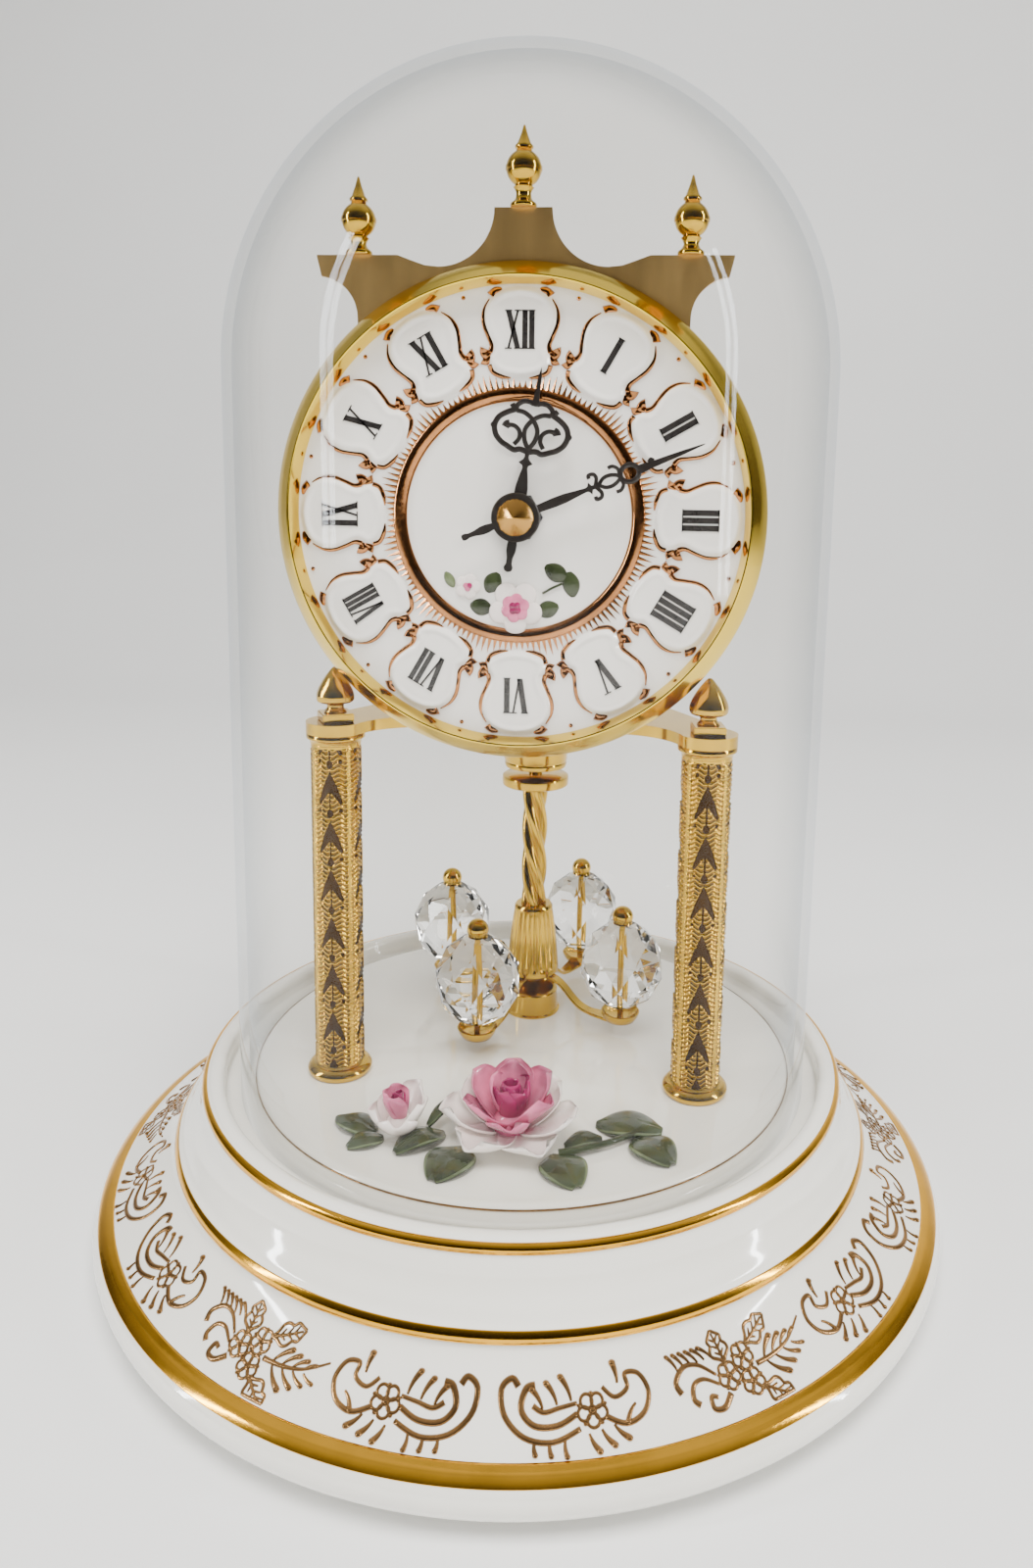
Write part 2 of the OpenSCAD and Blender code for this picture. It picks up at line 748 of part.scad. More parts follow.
module pendulum_arms() color("gold") {
    difference() {
        union() {
            at_pendulum() for (i = [0:3]) rotate([0, 0, arm_angle + 90 * i])
                translate([0, 1.6, 0]) rotate([90, 0, 0]) linear_extrude(height = 3.2) strap_outline();
            at_crystals() rotate_extrude($fn = slim) polygon([[0, 46.2], [3.4, 46.2], [5.2, 48], [5.8, 50],
                [5.2, 50.2], [4.4, 48.6], [0, 48.4]]);
        }
        at_pendulum() translate([0, 0, 40]) cylinder(r = 1.5, h = 20, $fn = slim);
    }
}

// Faceted balls, drilled through for their pins
module crystals() color("lightcyan") {
    flat_z = crystal_d / 2 + 0.6;
    at_crystals() translate([0, 0, crystal_z]) difference() {
        rotate_extrude($fn = slim) polygon([[0, -flat_z], [4.6, -flat_z], [9, -8.6], [crystal_d / 2 - 0.3, -3.6],
            [crystal_d / 2 - 0.3, 3.6], [9, 8.6], [4.6, flat_z], [0, flat_z]]);
        translate([0, 0, -20]) cylinder(r = 1, h = 40, $fn = slim);
    }
}

// Ball cap on each crystal, with the pin that runs through it into the saucer
module crystal_caps() color("gold") {
    at_crystals() {
        translate([0, 0, 79.4]) difference() {
            sphere(r = 3.1, $fn = slim);
            translate([-4, -4, -6.3]) cube([8, 8, 4]);
        }
        translate([0, 0, 48.4]) cylinder(r = 1, h = 29, $fn = slim);
    }
}

// ---- dome ----

module dome() color("lightblue", 0.3) {
    bottom = groove_z + 0.3;
    rotate_extrude($fn = 180) polygon(concat(
        [[dome_r - glass_t, bottom], [dome_r, bottom]],
        [for (a = [0:3:90]) [dome_r * cos(a), dome_straight + (dome_top - dome_straight) * sin(a)]],
        [for (a = [90:-3:0]) [(dome_r - glass_t) * cos(a), dome_straight + (dome_top - glass_t - dome_straight) * sin(a)]]
    ));
}

base_shell();
base_pad();
column(-1);  // left_column
column(1);  // right_column
column_feet();
column_caps();
tie_rods();
base_nuts();
support_plate();
square_nuts();
acorn_finials();
guide_cup();
cup_screw();
large_rose();
rose_bud();
rose_leaves();
neck_bush();
case_saddle();
drum_case();
case_screws();
bezel();
dial();
dial_nut();
crown();
centre_spire();
side_spires();
rear_cover();
movement_front();
movement_back();
circuit_board();
stator();
motor_coil();
battery();
battery_holder();
battery_contacts();
drive_bracket();
drive_coil();
dome();
battery_door();
hour_hand();
hour_wheel();
minute_hand();
minute_arbor();
hand_nut();
minute_wheel();
setting_knob();
centre_wheel();
third_wheel();
seconds_wheel();
intermediate_wheel();
rotor();
hanger();
suspension_wire();
drive_magnet();
pendulum_stem();
pendulum_cone();
guide_pin();
pendulum_arms();
crystals();
crystal_caps();
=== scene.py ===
"""Anniversary clock under a glass dome: the looks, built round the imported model."""

import json
import random
from math import atan2, cos, degrees, exp, hypot, pi, radians, sin

import bmesh
import bpy
import numpy as np
from mathutils import Matrix, Vector


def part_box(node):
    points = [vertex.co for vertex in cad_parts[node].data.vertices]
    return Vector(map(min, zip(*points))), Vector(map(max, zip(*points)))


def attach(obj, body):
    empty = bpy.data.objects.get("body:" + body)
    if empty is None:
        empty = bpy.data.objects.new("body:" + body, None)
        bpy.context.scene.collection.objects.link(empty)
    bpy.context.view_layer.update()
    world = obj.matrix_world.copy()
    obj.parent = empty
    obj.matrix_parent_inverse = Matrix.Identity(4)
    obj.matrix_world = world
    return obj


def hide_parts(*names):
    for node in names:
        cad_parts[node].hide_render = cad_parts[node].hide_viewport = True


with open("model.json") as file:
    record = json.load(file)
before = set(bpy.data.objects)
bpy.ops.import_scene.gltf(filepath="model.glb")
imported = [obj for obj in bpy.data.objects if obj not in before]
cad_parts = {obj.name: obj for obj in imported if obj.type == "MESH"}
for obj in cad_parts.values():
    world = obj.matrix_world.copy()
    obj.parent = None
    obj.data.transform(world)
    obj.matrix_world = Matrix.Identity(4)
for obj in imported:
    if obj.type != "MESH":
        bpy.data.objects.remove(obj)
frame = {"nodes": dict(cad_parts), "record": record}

random.seed(7)
MM = 0.001


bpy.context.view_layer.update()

# ---- places and sizes, in millimetres, read from the frame ----


def low(node):
    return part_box(node)[0] / MM


def high(node):
    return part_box(node)[1] / MM


def middle(node):
    return (low(node) + high(node)) / 2


PLATFORM = low("left_column").z
BASE_R = high("base_shell").x
COLUMN_X = middle("right_column").x
COLUMN_Y = middle("right_column").y
COLUMN_TOP = high("right_column").z
COLUMN_R = high("right_column").x - COLUMN_X
PLATE_LOW = low("support_plate").z
PLATE_TOP = high("support_plate").z
DIAL_Y = low("dial").y
HEAD_Z = middle("bezel").z
BEZEL_R = high("bezel").x
CREST_Y = low("bezel").y
FLANGE_Y = high("bezel").y
PENDULUM_Y = middle("pendulum_stem").y
CROWN_Y = low("crown").y
SHOULDER_Z = low("side_spires").z + 4
PEAK_Z = high("crown").z
SPIRE_X = high("side_spires").x - 4.15
DOME_R = high("dome").x
DOME_TOP = high("dome").z
DOME_LOW = low("dome").z
GLASS = 2.5
ARM_R = 30.7
ARM_ANGLES = [radians(-25) + pi / 2 * k for k in range(4)]
CRYSTAL_Z = middle("crystals").z

# Clockwise angles from twelve, in degrees
HOUR_ANGLE = 9
MINUTE_ANGLE = 68

SMOOTHNESS = 1.0


# ---- curves and surfaces ----


def lerp(a, b, t):
    return a + (b - a) * t


def smoothstep(low_edge, high_edge, value):
    t = np.clip((value - low_edge) / (high_edge - low_edge), 0, 1)
    return t * t * (3 - 2 * t)


def spline(points, steps=6, closed=False):
    """Points of a Catmull-Rom curve through the given ones, in two or three dimensions."""
    pts = [np.array(p, float) for p in points]
    count = len(pts)
    out = []
    for i in range(count if closed else count - 1):
        if closed:
            p0, p1, p2, p3 = (pts[(i + k) % count] for k in (-1, 0, 1, 2))
        else:
            p0, p1, p2, p3 = (pts[min(max(i + k, 0), count - 1)] for k in (-1, 0, 1, 2))
        for k in range(steps):
            t = k / steps
            out.append(
                0.5
                * (
                    2 * p1
                    + (p2 - p0) * t
                    + (2 * p0 - 5 * p1 + 4 * p2 - p3) * t * t
                    + (3 * p1 - p0 - 3 * p2 + p3) * t**3
                )
            )
    if not closed:
        out.append(pts[-1])
    return [tuple(p) for p in out]


def polar(centre, radius, angle, squash=1.0):
    """Point about a centre, at an angle in radians."""
    return (centre[0] + radius * cos(angle), centre[1] + radius * squash * sin(angle))


def circle(centre, radius, count, start=0.0, squash=1.0):
    """Points spaced evenly round a centre, the first at an angle in degrees."""
    return [polar(centre, radius, radians(start) + 2 * pi * k / count, squash) for k in range(count)]


def arc(centre, radius, start, end, steps=10, squash=1.0):
    """Points on an arc, angles in degrees."""
    return [polar(centre, radius, radians(lerp(start, end, k / steps)), squash) for k in range(steps + 1)]


def directions(angle):
    """Level unit vectors outwards and sideways, at an angle in radians."""
    return Vector((cos(angle), sin(angle), 0)), Vector((-sin(angle), cos(angle), 0))


def upright(centre=(0, 0, 0)):
    """Turns (radius, angle, height) into a point about a vertical axis."""
    return lambda r, a, h: (*polar(centre, r, a), centre[2] + h)


def facing(r, a, h):
    """Point about the dial's axis, from radius, angle and depth towards the viewer."""
    return (r * cos(a), -h, HEAD_Z + r * sin(a))


def on_dial(u, v, h):
    """Point of the dial's face: u to the right, v up, h in front of it."""
    return (u, DIAL_Y - h, HEAD_Z + v)


def clock(s, t, hour_angle):
    """Dial place of a point s to the side and t outwards along a clockwise angle from twelve, in degrees."""
    a = radians(hour_angle)
    return (s * cos(a) + t * sin(a), -s * sin(a) + t * cos(a))


class Shape:
    """Collects vertices, in millimetres, and faces, then makes one Blender piece of them."""

    def __init__(self):
        self.verts, self.faces, self.slots, self.smooth = [], [], [], []

    def add(self, verts, faces, mat=0, smooth=True):
        first = len(self.verts)
        self.verts.extend(tuple(v) for v in verts)
        for face in faces:
            self.faces.append(tuple(first + i for i in face))
            self.slots.append(mat)
            self.smooth.append(smooth)

    def grid(self, rows, closed_u=True, closed_v=False, mat=0, smooth=True, caps=False):
        """Faces between rows; closed_u joins each row's ends, closed_v joins the last row to the first."""
        n, m = len(rows), len(rows[0])
        faces = []
        for i in range(n if closed_v else n - 1):
            for j in range(m if closed_u else m - 1):
                a, b = i * m + j, i * m + (j + 1) % m
                c, d = ((i + 1) % n) * m + (j + 1) % m, ((i + 1) % n) * m + j
                faces.append((a, b, c, d))
        if caps:
            faces.append(tuple(reversed(range(m))))
            faces.append(tuple((n - 1) * m + j for j in range(m)))
        self.add([p for row in rows for p in row], faces, mat, smooth)

    def lathe(self, profile, place=None, segments=96, mat=0, closed=False, smooth=True, radius=None):
        """Turned solid from (radius, height) points; radius(r, angle, height) can shape the section."""
        place = place or upright()
        segments = max(8, int(segments * (SMOOTHNESS if segments > 40 else 1)))
        rows = []
        for r, h in profile:
            row = []
            for k in range(segments):
                a = 2 * pi * k / segments
                row.append(place(radius(r, a, h) if radius else r, a, h))
            rows.append(row)
        self.grid(rows, True, closed, mat, smooth)
        return self

    def tube(self, path, radii, sides=8, mat=0, flat=1.0, normal=None, closed=False):
        """Round bar along a path; radii is a number or one per point; flat squashes it along the normal."""
        pts = [Vector(p) for p in path]
        count = len(pts)
        if not hasattr(radii, "__len__"):
            radii = [radii] * count
        rows = []
        for i, p in enumerate(pts):
            before = pts[i - 1] if (i or closed) else p
            after = pts[(i + 1) % count] if (i < count - 1 or closed) else p
            along = (after - before).normalized()
            up = Vector(normal) if normal else Vector((0, 0, 1))
            if abs(along.dot(up)) > 0.98:
                up = Vector((0, 1, 0))
            side = along.cross(up).normalized()
            up = side.cross(along).normalized()
            r = max(radii[i], 0.01)
            rows.append([p + side * s + up * u for s, u in circle((0, 0), r, sides, squash=flat)])
        self.grid(rows, True, closed, mat, caps=not closed)

    def ball(self, centre, radius, mat=0, rings=8, sides=12, squash=(1, 1, 1)):
        x, y, z = (radius * share for share in squash)
        rows = []
        for i in range(rings + 1):
            b = pi * i / rings
            r = max(sin(b), 0.001)
            ring = circle((0, 0), r, sides)
            rows.append([(centre[0] + x * u, centre[1] + y * v, centre[2] - z * cos(b)) for u, v in ring])
        self.grid(rows, mat=mat)

    def plate(self, outline, place, thickness, bevel=0.0, mat=0):
        """Flat sheet of an outline in two dimensions, set by place(u, v, h) with h from 0 to thickness."""
        mesh = bmesh.new()
        ring = [mesh.verts.new((u, v, 0)) for u, v in outline]
        edges = [mesh.edges.new(pair) for pair in zip(ring, ring[1:] + ring[:1])]
        bmesh.ops.triangle_fill(mesh, edges=edges, use_beauty=True)
        raised = bmesh.ops.extrude_face_region(mesh, geom=mesh.faces[:])["geom"]
        corners = [item for item in raised if isinstance(item, bmesh.types.BMVert)]
        bmesh.ops.translate(mesh, verts=corners, vec=(0, 0, thickness))
        bmesh.ops.recalc_face_normals(mesh, faces=mesh.faces)
        if bevel:
            rims = [e for e in mesh.edges if len(e.link_faces) == 2 and e.calc_face_angle(0) > 1.2]
            bmesh.ops.bevel(mesh, geom=rims, offset=bevel, segments=2, affect="EDGES", clamp_overlap=True)
        mesh.verts.index_update()
        self.add(
            [place(v.co.x, v.co.y, v.co.z) for v in mesh.verts],
            [[v.index for v in f.verts] for f in mesh.faces],
            mat,
            smooth=False,
        )
        mesh.free()

    def piece(self, name, materials, body, slot, replaces=(), crease=None):
        """Makes the piece, on a body and in place of the nodes that it replaces; the slot argument is not
        used.
        """
        data = bpy.data.meshes.new(name)
        data.from_pydata([tuple(c * MM for c in v) for v in self.verts], [], self.faces)
        data.validate()
        obj = bpy.data.objects.new(name, data)
        bpy.context.scene.collection.objects.link(obj)
        for material in materials if isinstance(materials, (list, tuple)) else [materials]:
            data.materials.append(material)
        if len(data.polygons) == len(self.faces):
            data.polygons.foreach_set("material_index", self.slots)
            data.polygons.foreach_set("use_smooth", self.smooth)
        mesh = bmesh.new()
        mesh.from_mesh(data)
        bmesh.ops.recalc_face_normals(mesh, faces=mesh.faces)
        mesh.to_mesh(data)
        mesh.free()
        if crease is not None:
            data.set_sharp_from_angle(angle=radians(crease))
        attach(obj, body)
        if replaces:
            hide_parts(*replaces)
        return obj


# ---- materials ----


def nodes_of(name):
    material = bpy.data.materials.new(name)
    material.use_nodes = True
    tree = material.node_tree
    return material, tree, tree.nodes["Principled BSDF"]


def put(shader, **values):
    """Sets sockets by name, with _ for each space."""
    for key, value in values.items():
        shader.inputs[key.replace("_", " ")].default_value = value


def builder(tree):
    """Function that adds a shader node of some kind and sets the sockets it is given."""

    def add(kind, **values):
        node = tree.nodes.new("ShaderNode" + kind)
        put(node, **values)
        return node

    return add


def colour_ramp(add, *stops):
    """Colour ramp through stops of position and colour."""
    node = add("ValToRGB")
    elements = node.color_ramp.elements
    for element, (position, colour) in zip(elements, (stops[0], stops[-1])):
        element.position, element.color = position, (*colour, 1)
    for position, colour in stops[1:-1]:
        elements.new(position).color = (*colour, 1)
    return node


def surface(
    name, colour, roughness, metallic=0.0, coat=0.0, vary=0.06, grain=40.0, bump=0.02, stretch=(
        1, 1, 1
    ), **more
):
    """Material whose colour, roughness and fine relief vary with noise in the object's own space."""
    material, tree, shader = nodes_of(name)
    add, link = builder(tree), tree.links.new
    mapping = add("Mapping", Scale=tuple(grain * s for s in stretch))
    link(add("TexCoord").outputs["Object"], mapping.inputs["Vector"])
    noise = add("TexNoise", Scale=1.0, Detail=4.0)
    link(mapping.outputs["Vector"], noise.inputs["Vector"])
    darker = [c * (1 - vary) for c in colour]
    lighter = [min(1, c * (1 + vary)) for c in colour]
    ramp = colour_ramp(add, (0.3, darker), (0.7, lighter))
    link(noise.outputs["Fac"], ramp.inputs["Fac"])
    link(ramp.outputs["Color"], shader.inputs["Base Color"])
    spread = add("MapRange", To_Min=max(0.0, roughness * 0.8), To_Max=min(1.0, roughness * 1.2))
    link(noise.outputs["Fac"], spread.inputs["Value"])
    link(spread.outputs["Result"], shader.inputs["Roughness"])
    fine = add("TexNoise", Scale=6.0)
    link(mapping.outputs["Vector"], fine.inputs["Vector"])
    relief = add("Bump", Strength=bump, Distance=0.0005)
    link(fine.outputs["Fac"], relief.inputs["Height"])
    link(relief.outputs["Normal"], shader.inputs["Normal"])
    put(shader, Metallic=metallic, Coat_Weight=coat, **more)
    return material


GLASS_INDEX = 1.19


def clear_glass(name):
    """Thin clear glass: what is behind shows straight through, and the surface mirrors by Fresnel's law."""
    material, tree, shader = nodes_of(name)
    tree.nodes.remove(shader)
    add, link = builder(tree), tree.links.new
    through = add("BsdfTransparent")
    # The wall is darker where it is seen edge on: partly the longer path through the glass, partly painted
    # reflection of a dark room
    grazing = add("LayerWeight", Blend=0.3)
    depth = colour_ramp(
        add, (0.35, (0.996, 0.993, 0.985)), (0.8, (0.85, 0.86, 0.86)), (1.0, (0.40, 0.42, 0.42))
    )
    link(grazing.outputs["Facing"], depth.inputs["Fac"])
    link(depth.outputs["Color"], through.inputs["Color"])
    gloss = add("BsdfGlossy", Roughness=0.015, Color=(0.95, 0.97, 1.0, 1))
    fresnel = add("Fresnel")
    # The rays go straight through, so the inner faces need the same reflectance as the outer ones
    index = add("MapRange", To_Min=GLASS_INDEX, To_Max=1 / GLASS_INDEX)
    link(add("NewGeometry").outputs["Backfacing"], index.inputs["Value"])
    link(index.outputs["Result"], fresnel.inputs["IOR"])
    noise = add("TexNoise", Scale=9.0)
    wave = add("Bump", Strength=0.04, Distance=0.001)
    link(add("TexCoord").outputs["Object"], noise.inputs["Vector"])
    link(noise.outputs["Fac"], wave.inputs["Height"])
    link(wave.outputs["Normal"], gloss.inputs["Normal"])
    mix = add("MixShader")
    link(fresnel.outputs["Fac"], mix.inputs["Fac"])
    link(through.outputs["BSDF"], mix.inputs[1])
    link(gloss.outputs["BSDF"], mix.inputs[2])
    link(mix.outputs["Shader"], tree.nodes["Material Output"].inputs["Surface"])
    return material


BRASS = surface("brass", (0.62, 0.385, 0.035), 0.14, 1.0, vary=0.10, grain=90, bump=0.03)
BRASS_BRIGHT = surface("bright_brass", (0.90, 0.63, 0.07), 0.14, 1.0, vary=0.05, grain=60, bump=0.02)
BRASS_SHEET = surface(
    "brass_sheet", (0.72, 0.48, 0.19), 0.40, 1.0, vary=0.12, grain=50, bump=0.05, stretch=(3, 3, 0.6),
)
EMBOSSED = surface("embossed_brass", (0.70, 0.43, 0.035), 0.22, 1.0, vary=0.14, grain=160, bump=0.08)
# Painted shade: near-black brass for the columns' recessed leaves and darker brass for their hatch valleys,
# where shadow falls
PAINTED_LEAF_SHADE = surface("leaf_shade_paint", (0.050, 0.022, 0.004), 0.45, 1.0, vary=0.25, grain=220, bump=0.10)
PAINTED_VALLEY_SHADE = surface("valley_shade_paint", (0.30, 0.155, 0.015), 0.32, 1.0, vary=0.2, grain=160, bump=0.08)
GILT = surface("gilt", (0.84, 0.43, 0.035), 0.15, 1.0, vary=0.14, grain=60, bump=0.05)
LINE_GILT = surface("line_gilt", (0.34, 0.185, 0.07), 0.22, 0.95, vary=0.35, grain=120, bump=0.05)
COPPER_GILT = surface("copper_gilt", (0.50, 0.22, 0.085), 0.16, 1.0, vary=0.25, grain=90, bump=0.08)
PORCELAIN = surface("porcelain", (0.83, 0.81, 0.74), 0.10, coat=0.7, vary=0.02, grain=14, bump=0.02)
DIAL_WHITE = surface("dial_porcelain", (0.84, 0.82, 0.79), 0.14, coat=0.7, vary=0.02, grain=30, bump=0.03)
PETAL_PALE = surface("petal_pale", (0.88, 0.80, 0.77), 0.18, coat=0.5, vary=0.08, grain=120, bump=0.06)
PETAL_PINK = surface("petal_pink", (0.60, 0.145, 0.27), 0.18, coat=0.5, vary=0.40, grain=150, bump=0.06)
PETAL_DEEP = surface("petal_deep", (0.28, 0.012, 0.09), 0.18, coat=0.5, vary=0.40, grain=200, bump=0.06)
LEAF = surface("leaf_glaze", (0.030, 0.040, 0.018), 0.2, coat=0.3, vary=0.7, grain=110, bump=0.14)
LEAF_PALE = surface("leaf_pale", (0.11, 0.14, 0.07), 0.2, coat=0.3, vary=0.55, grain=110, bump=0.14)
BRONZE = surface("bronze", (0.50, 0.27, 0.07), 0.18, 1.0, vary=0.10, grain=120, bump=0.05)
BLACK = surface("hand_black", (0.018, 0.015, 0.014), 0.30, 0.2, vary=0.2, grain=200, bump=0.05)
INK = surface("numeral_ink", (0.022, 0.02, 0.02), 0.25, coat=0.4, vary=0.2, grain=200, bump=0.02)
STEEL = surface("plated_steel", (0.62, 0.61, 0.58), 0.25, 1.0, vary=0.06, grain=150, bump=0.04)
PLASTIC = surface("dark_plastic", (0.035, 0.035, 0.04), 0.42, vary=0.15, grain=120, bump=0.12)
FELT = surface("felt", (0.05, 0.13, 0.08), 0.92, vary=0.25, grain=500, bump=0.5)
BOARD = surface("board", (0.03, 0.20, 0.10), 0.35, vary=0.12, grain=300, bump=0.05)
COPPER = surface(
    "coil_wire", (0.45, 0.17, 0.06), 0.28, 0.8, vary=0.15, grain=60, bump=0.4, stretch=(30, 1, 1),
)
SLEEVE = surface("battery_sleeve", (0.10, 0.15, 0.27), 0.25, coat=0.4, vary=0.08, grain=90, bump=0.03)
MAGNET = surface("magnet", (0.16, 0.16, 0.17), 0.45, 0.6, vary=0.15, grain=200, bump=0.1)
DOME_GLASS = clear_glass("dome_glass")
CRYSTAL = surface(
    "crystal", (1.0, 1.0, 1.0), 0.0, vary=0.0, grain=10, bump=0.0, Transmission_Weight=1.0, IOR=1.38,
)

# ---- porcelain base ----

# Outer moulding from the groove's edge down to the flare, as (radius, height above the table)
SHOULDER = [
    (84.2, 41.5), (84.3, 43.2), (85.0, 44.1), (86.3, 44.5), (87.6, 44.3), (88.4, 43.8), (89.3, 43.6),
    (90.0, 42.8), (89.9, 41.8), (89.8, 41.0), (90.2, 39.4), (91.0, 36.6), (92.3, 34.0), (93.9, 31.8),
    (95.2, 30.0), (96.4, 29.2), (97.3, 28.0), (97.4, 26.8), (97.0, 26.0), (97.7, 24.6), (99.3, 23.0),
    (101.6, 21.2), (105.2, 18.6), (109.0, 16.2), (112.4, 14.4),
]
LIP_R = 6.2
LIP = arc((BASE_R - LIP_R, 8.6), LIP_R, 66, -68, 18, squash=5.6 / LIP_R)
# The whole outer profile, smooth, from the groove to the foot
MOULDING = spline([*SHOULDER, *LIP, (109.0, 1.6)], 5)


def strip(first, last, proud=0.09):
    """Gilt strip over the moulding between two heights, closed behind."""
    part = [p for p in MOULDING if last <= p[1] <= first and p[0] > 86]
    outer = []
    for i, (r, h) in enumerate(part):
        before, after = part[max(i - 1, 0)], part[min(i + 1, len(part) - 1)]
        dr, dh = after[0] - before[0], after[1] - before[1]
        length = hypot(dr, dh) or 1
        outer.append((r - dh / length * proud, h + dr / length * proud))
    return outer + list(reversed(part))


def build_base():
    top = [
        (0.001, PLATFORM), (40, PLATFORM), (73.6, PLATFORM), (75.0, PLATFORM - 0.15),
        (75.7, PLATFORM - 0.7), (76.0, PLATFORM - 1.6), (76.1, PLATFORM - 3.6), (76.6, PLATFORM - 4.0),
        (83.6, PLATFORM - 4.0), (84.1, PLATFORM - 3.6),
    ]
    under = [
        (108.6, 1.2), (102.4, 1.2), (102.0, 1.6), (102.8, 3.5), (104, 6), (104, 12), (96.5, 17.5),
        (91.5, 24), (87.5, 32), (84.5, PLATFORM - 9), (70, PLATFORM - 9), (68, PLATFORM - 5),
        (0.001, PLATFORM - 5),
    ]
    body = Shape().lathe(top + MOULDING + under, segments=256)
    body.piece("porcelain_base", PORCELAIN, "stand", "porcelain", ["base_shell"], crease=50)
    bands = Shape()
    for first, last in ((43.75, 41.6), (29.25, 26.6), (14.2, 12.1)):
        bands.lathe(strip(first, last), segments=256, closed=True)
    bands.piece("gilt_bands", GILT, "stand", "porcelain")
    r, h = 75.9, PLATFORM - 0.6
    line = Shape().lathe([(r, h), (r + 0.25, h - 0.35), (r, h - 0.6)], segments=256, closed=True)
    line.piece("platform_line", LINE_GILT, "stand", "porcelain")


# Radii of the flare at its top, halfway and at the outer band
FLARE_TOP, FLARE_MIDDLE, FLARE_FOOT = 98.6, 106.0, 112.6


def flare_point(angle, out, proud):
    """Point on the flare at an angle in degrees; out runs from 0 at its top to 1 at the outer band."""
    radius = lerp(FLARE_TOP, FLARE_FOOT, out)
    for (r0, h0), (r1, h1) in zip(MOULDING, MOULDING[1:]):
        if r0 <= radius <= r1 and h0 < 26:
            height = lerp(h0, h1, (radius - r0) / max(r1 - r0, 1e-6))
            break
    return (*polar((0, 0), radius, radians(angle)), height + proud)


STROKE_WEIGHT = 1.2
# Length of the flare's slope that the gilding's own height is measured on
FLARE_SPAN = 16.5


class Scroll:
    """Draws gilding on the flare; local x runs round the base and y outwards, in millimetres."""

    def __init__(self, shape, angle, mirror=1):
        self.shape, self.angle, self.mirror = shape, angle, mirror

    def at(self, x, y):
        turn = self.mirror * degrees(x / FLARE_MIDDLE)
        return flare_point(self.angle + turn, min(0.98, max(0.02, 0.5 + y / FLARE_SPAN)), 0.05)

    def outward(self, point):
        """Direction square to the flare at a point."""
        top, foot = flare_point(0, 0.3, 0), flare_point(0, 0.7, 0)
        slope = Vector((top[2] - foot[2], 0, foot[0] - top[0])).normalized()
        a = atan2(point[1], point[0])
        return (slope.x * cos(a), slope.x * sin(a), slope.z)

    def stroke(self, points, start=0.3, end=0.3, closed=False):
        path = spline(points, 5, closed)
        world = [self.at(x, y) for x, y in path]
        radii = [STROKE_WEIGHT * lerp(start, end, k / (len(world) - 1)) for k in range(len(world))]
        self.shape.tube(
            world, radii, sides=6, flat=0.4, normal=self.outward(world[len(world) // 2]), closed=closed,
        )

    def blob(self, x, y, size):
        self.shape.ball(self.at(x, y), STROKE_WEIGHT * size, rings=5, sides=10, squash=(1, 1, 0.6))

    def comma(self, x, y, turn, length, bend=0.3, head=0.62):
        """Stroke that grows out of a thin tail, bends to one side and ends in a round head."""
        c, s = cos(radians(turn)), sin(radians(turn))
        points = []
        for t in (0, 0.25, 0.5, 0.75, 1):
            u, v = length * t, bend * length * t * t
            points.append((x + u * c - v * s, y + u * s + v * c))
        self.stroke(points, 0.22, head)
        self.blob(points[-1][0], points[-1][1], head * 1.1)

    def flower(self, x, y, size=2.6):
        """Five white petals left free in a gilt ground, round a gilt dot."""
        for k in range(5):
            a = 2 * pi * k / 5 + 0.3
            petal_middle = polar((x, y), 0.60 * size, a)
            self.stroke(circle(petal_middle, 0.40 * size, 8), closed=True)
            self.blob(*polar((x, y), 0.92 * size, a + 0.63), 0.42)
        self.blob(x, y, size * 0.2)

    def leaf(self, x, y, turn, length=7.6, width=2.1):
        c, s = cos(radians(turn)), sin(radians(turn))

        def at(u, v):
            return (x + u * c - v * s, y + u * s + v * c)

        for side in (-1, 1):
            edge = []
            for t in (0, 0.15, 0.3, 0.45, 0.6, 0.75, 0.9, 1):
                ragged = 1 + 0.25 * sin(9 * pi * t)
                edge.append(at(length * t, side * width * sin(pi * t) * ragged))
            self.stroke(edge, 0.36, 0.3)
            for t in (0.25, 0.45, 0.65):
                self.stroke([at(length * t, 0), at(length * (t + 0.14), side * width * 0.55)], 0.3, 0.16)
        self.stroke([at(0.2, 0), at(length * 0.5, 0.1), at(length * 0.9, 0)], 0.36, 0.2)


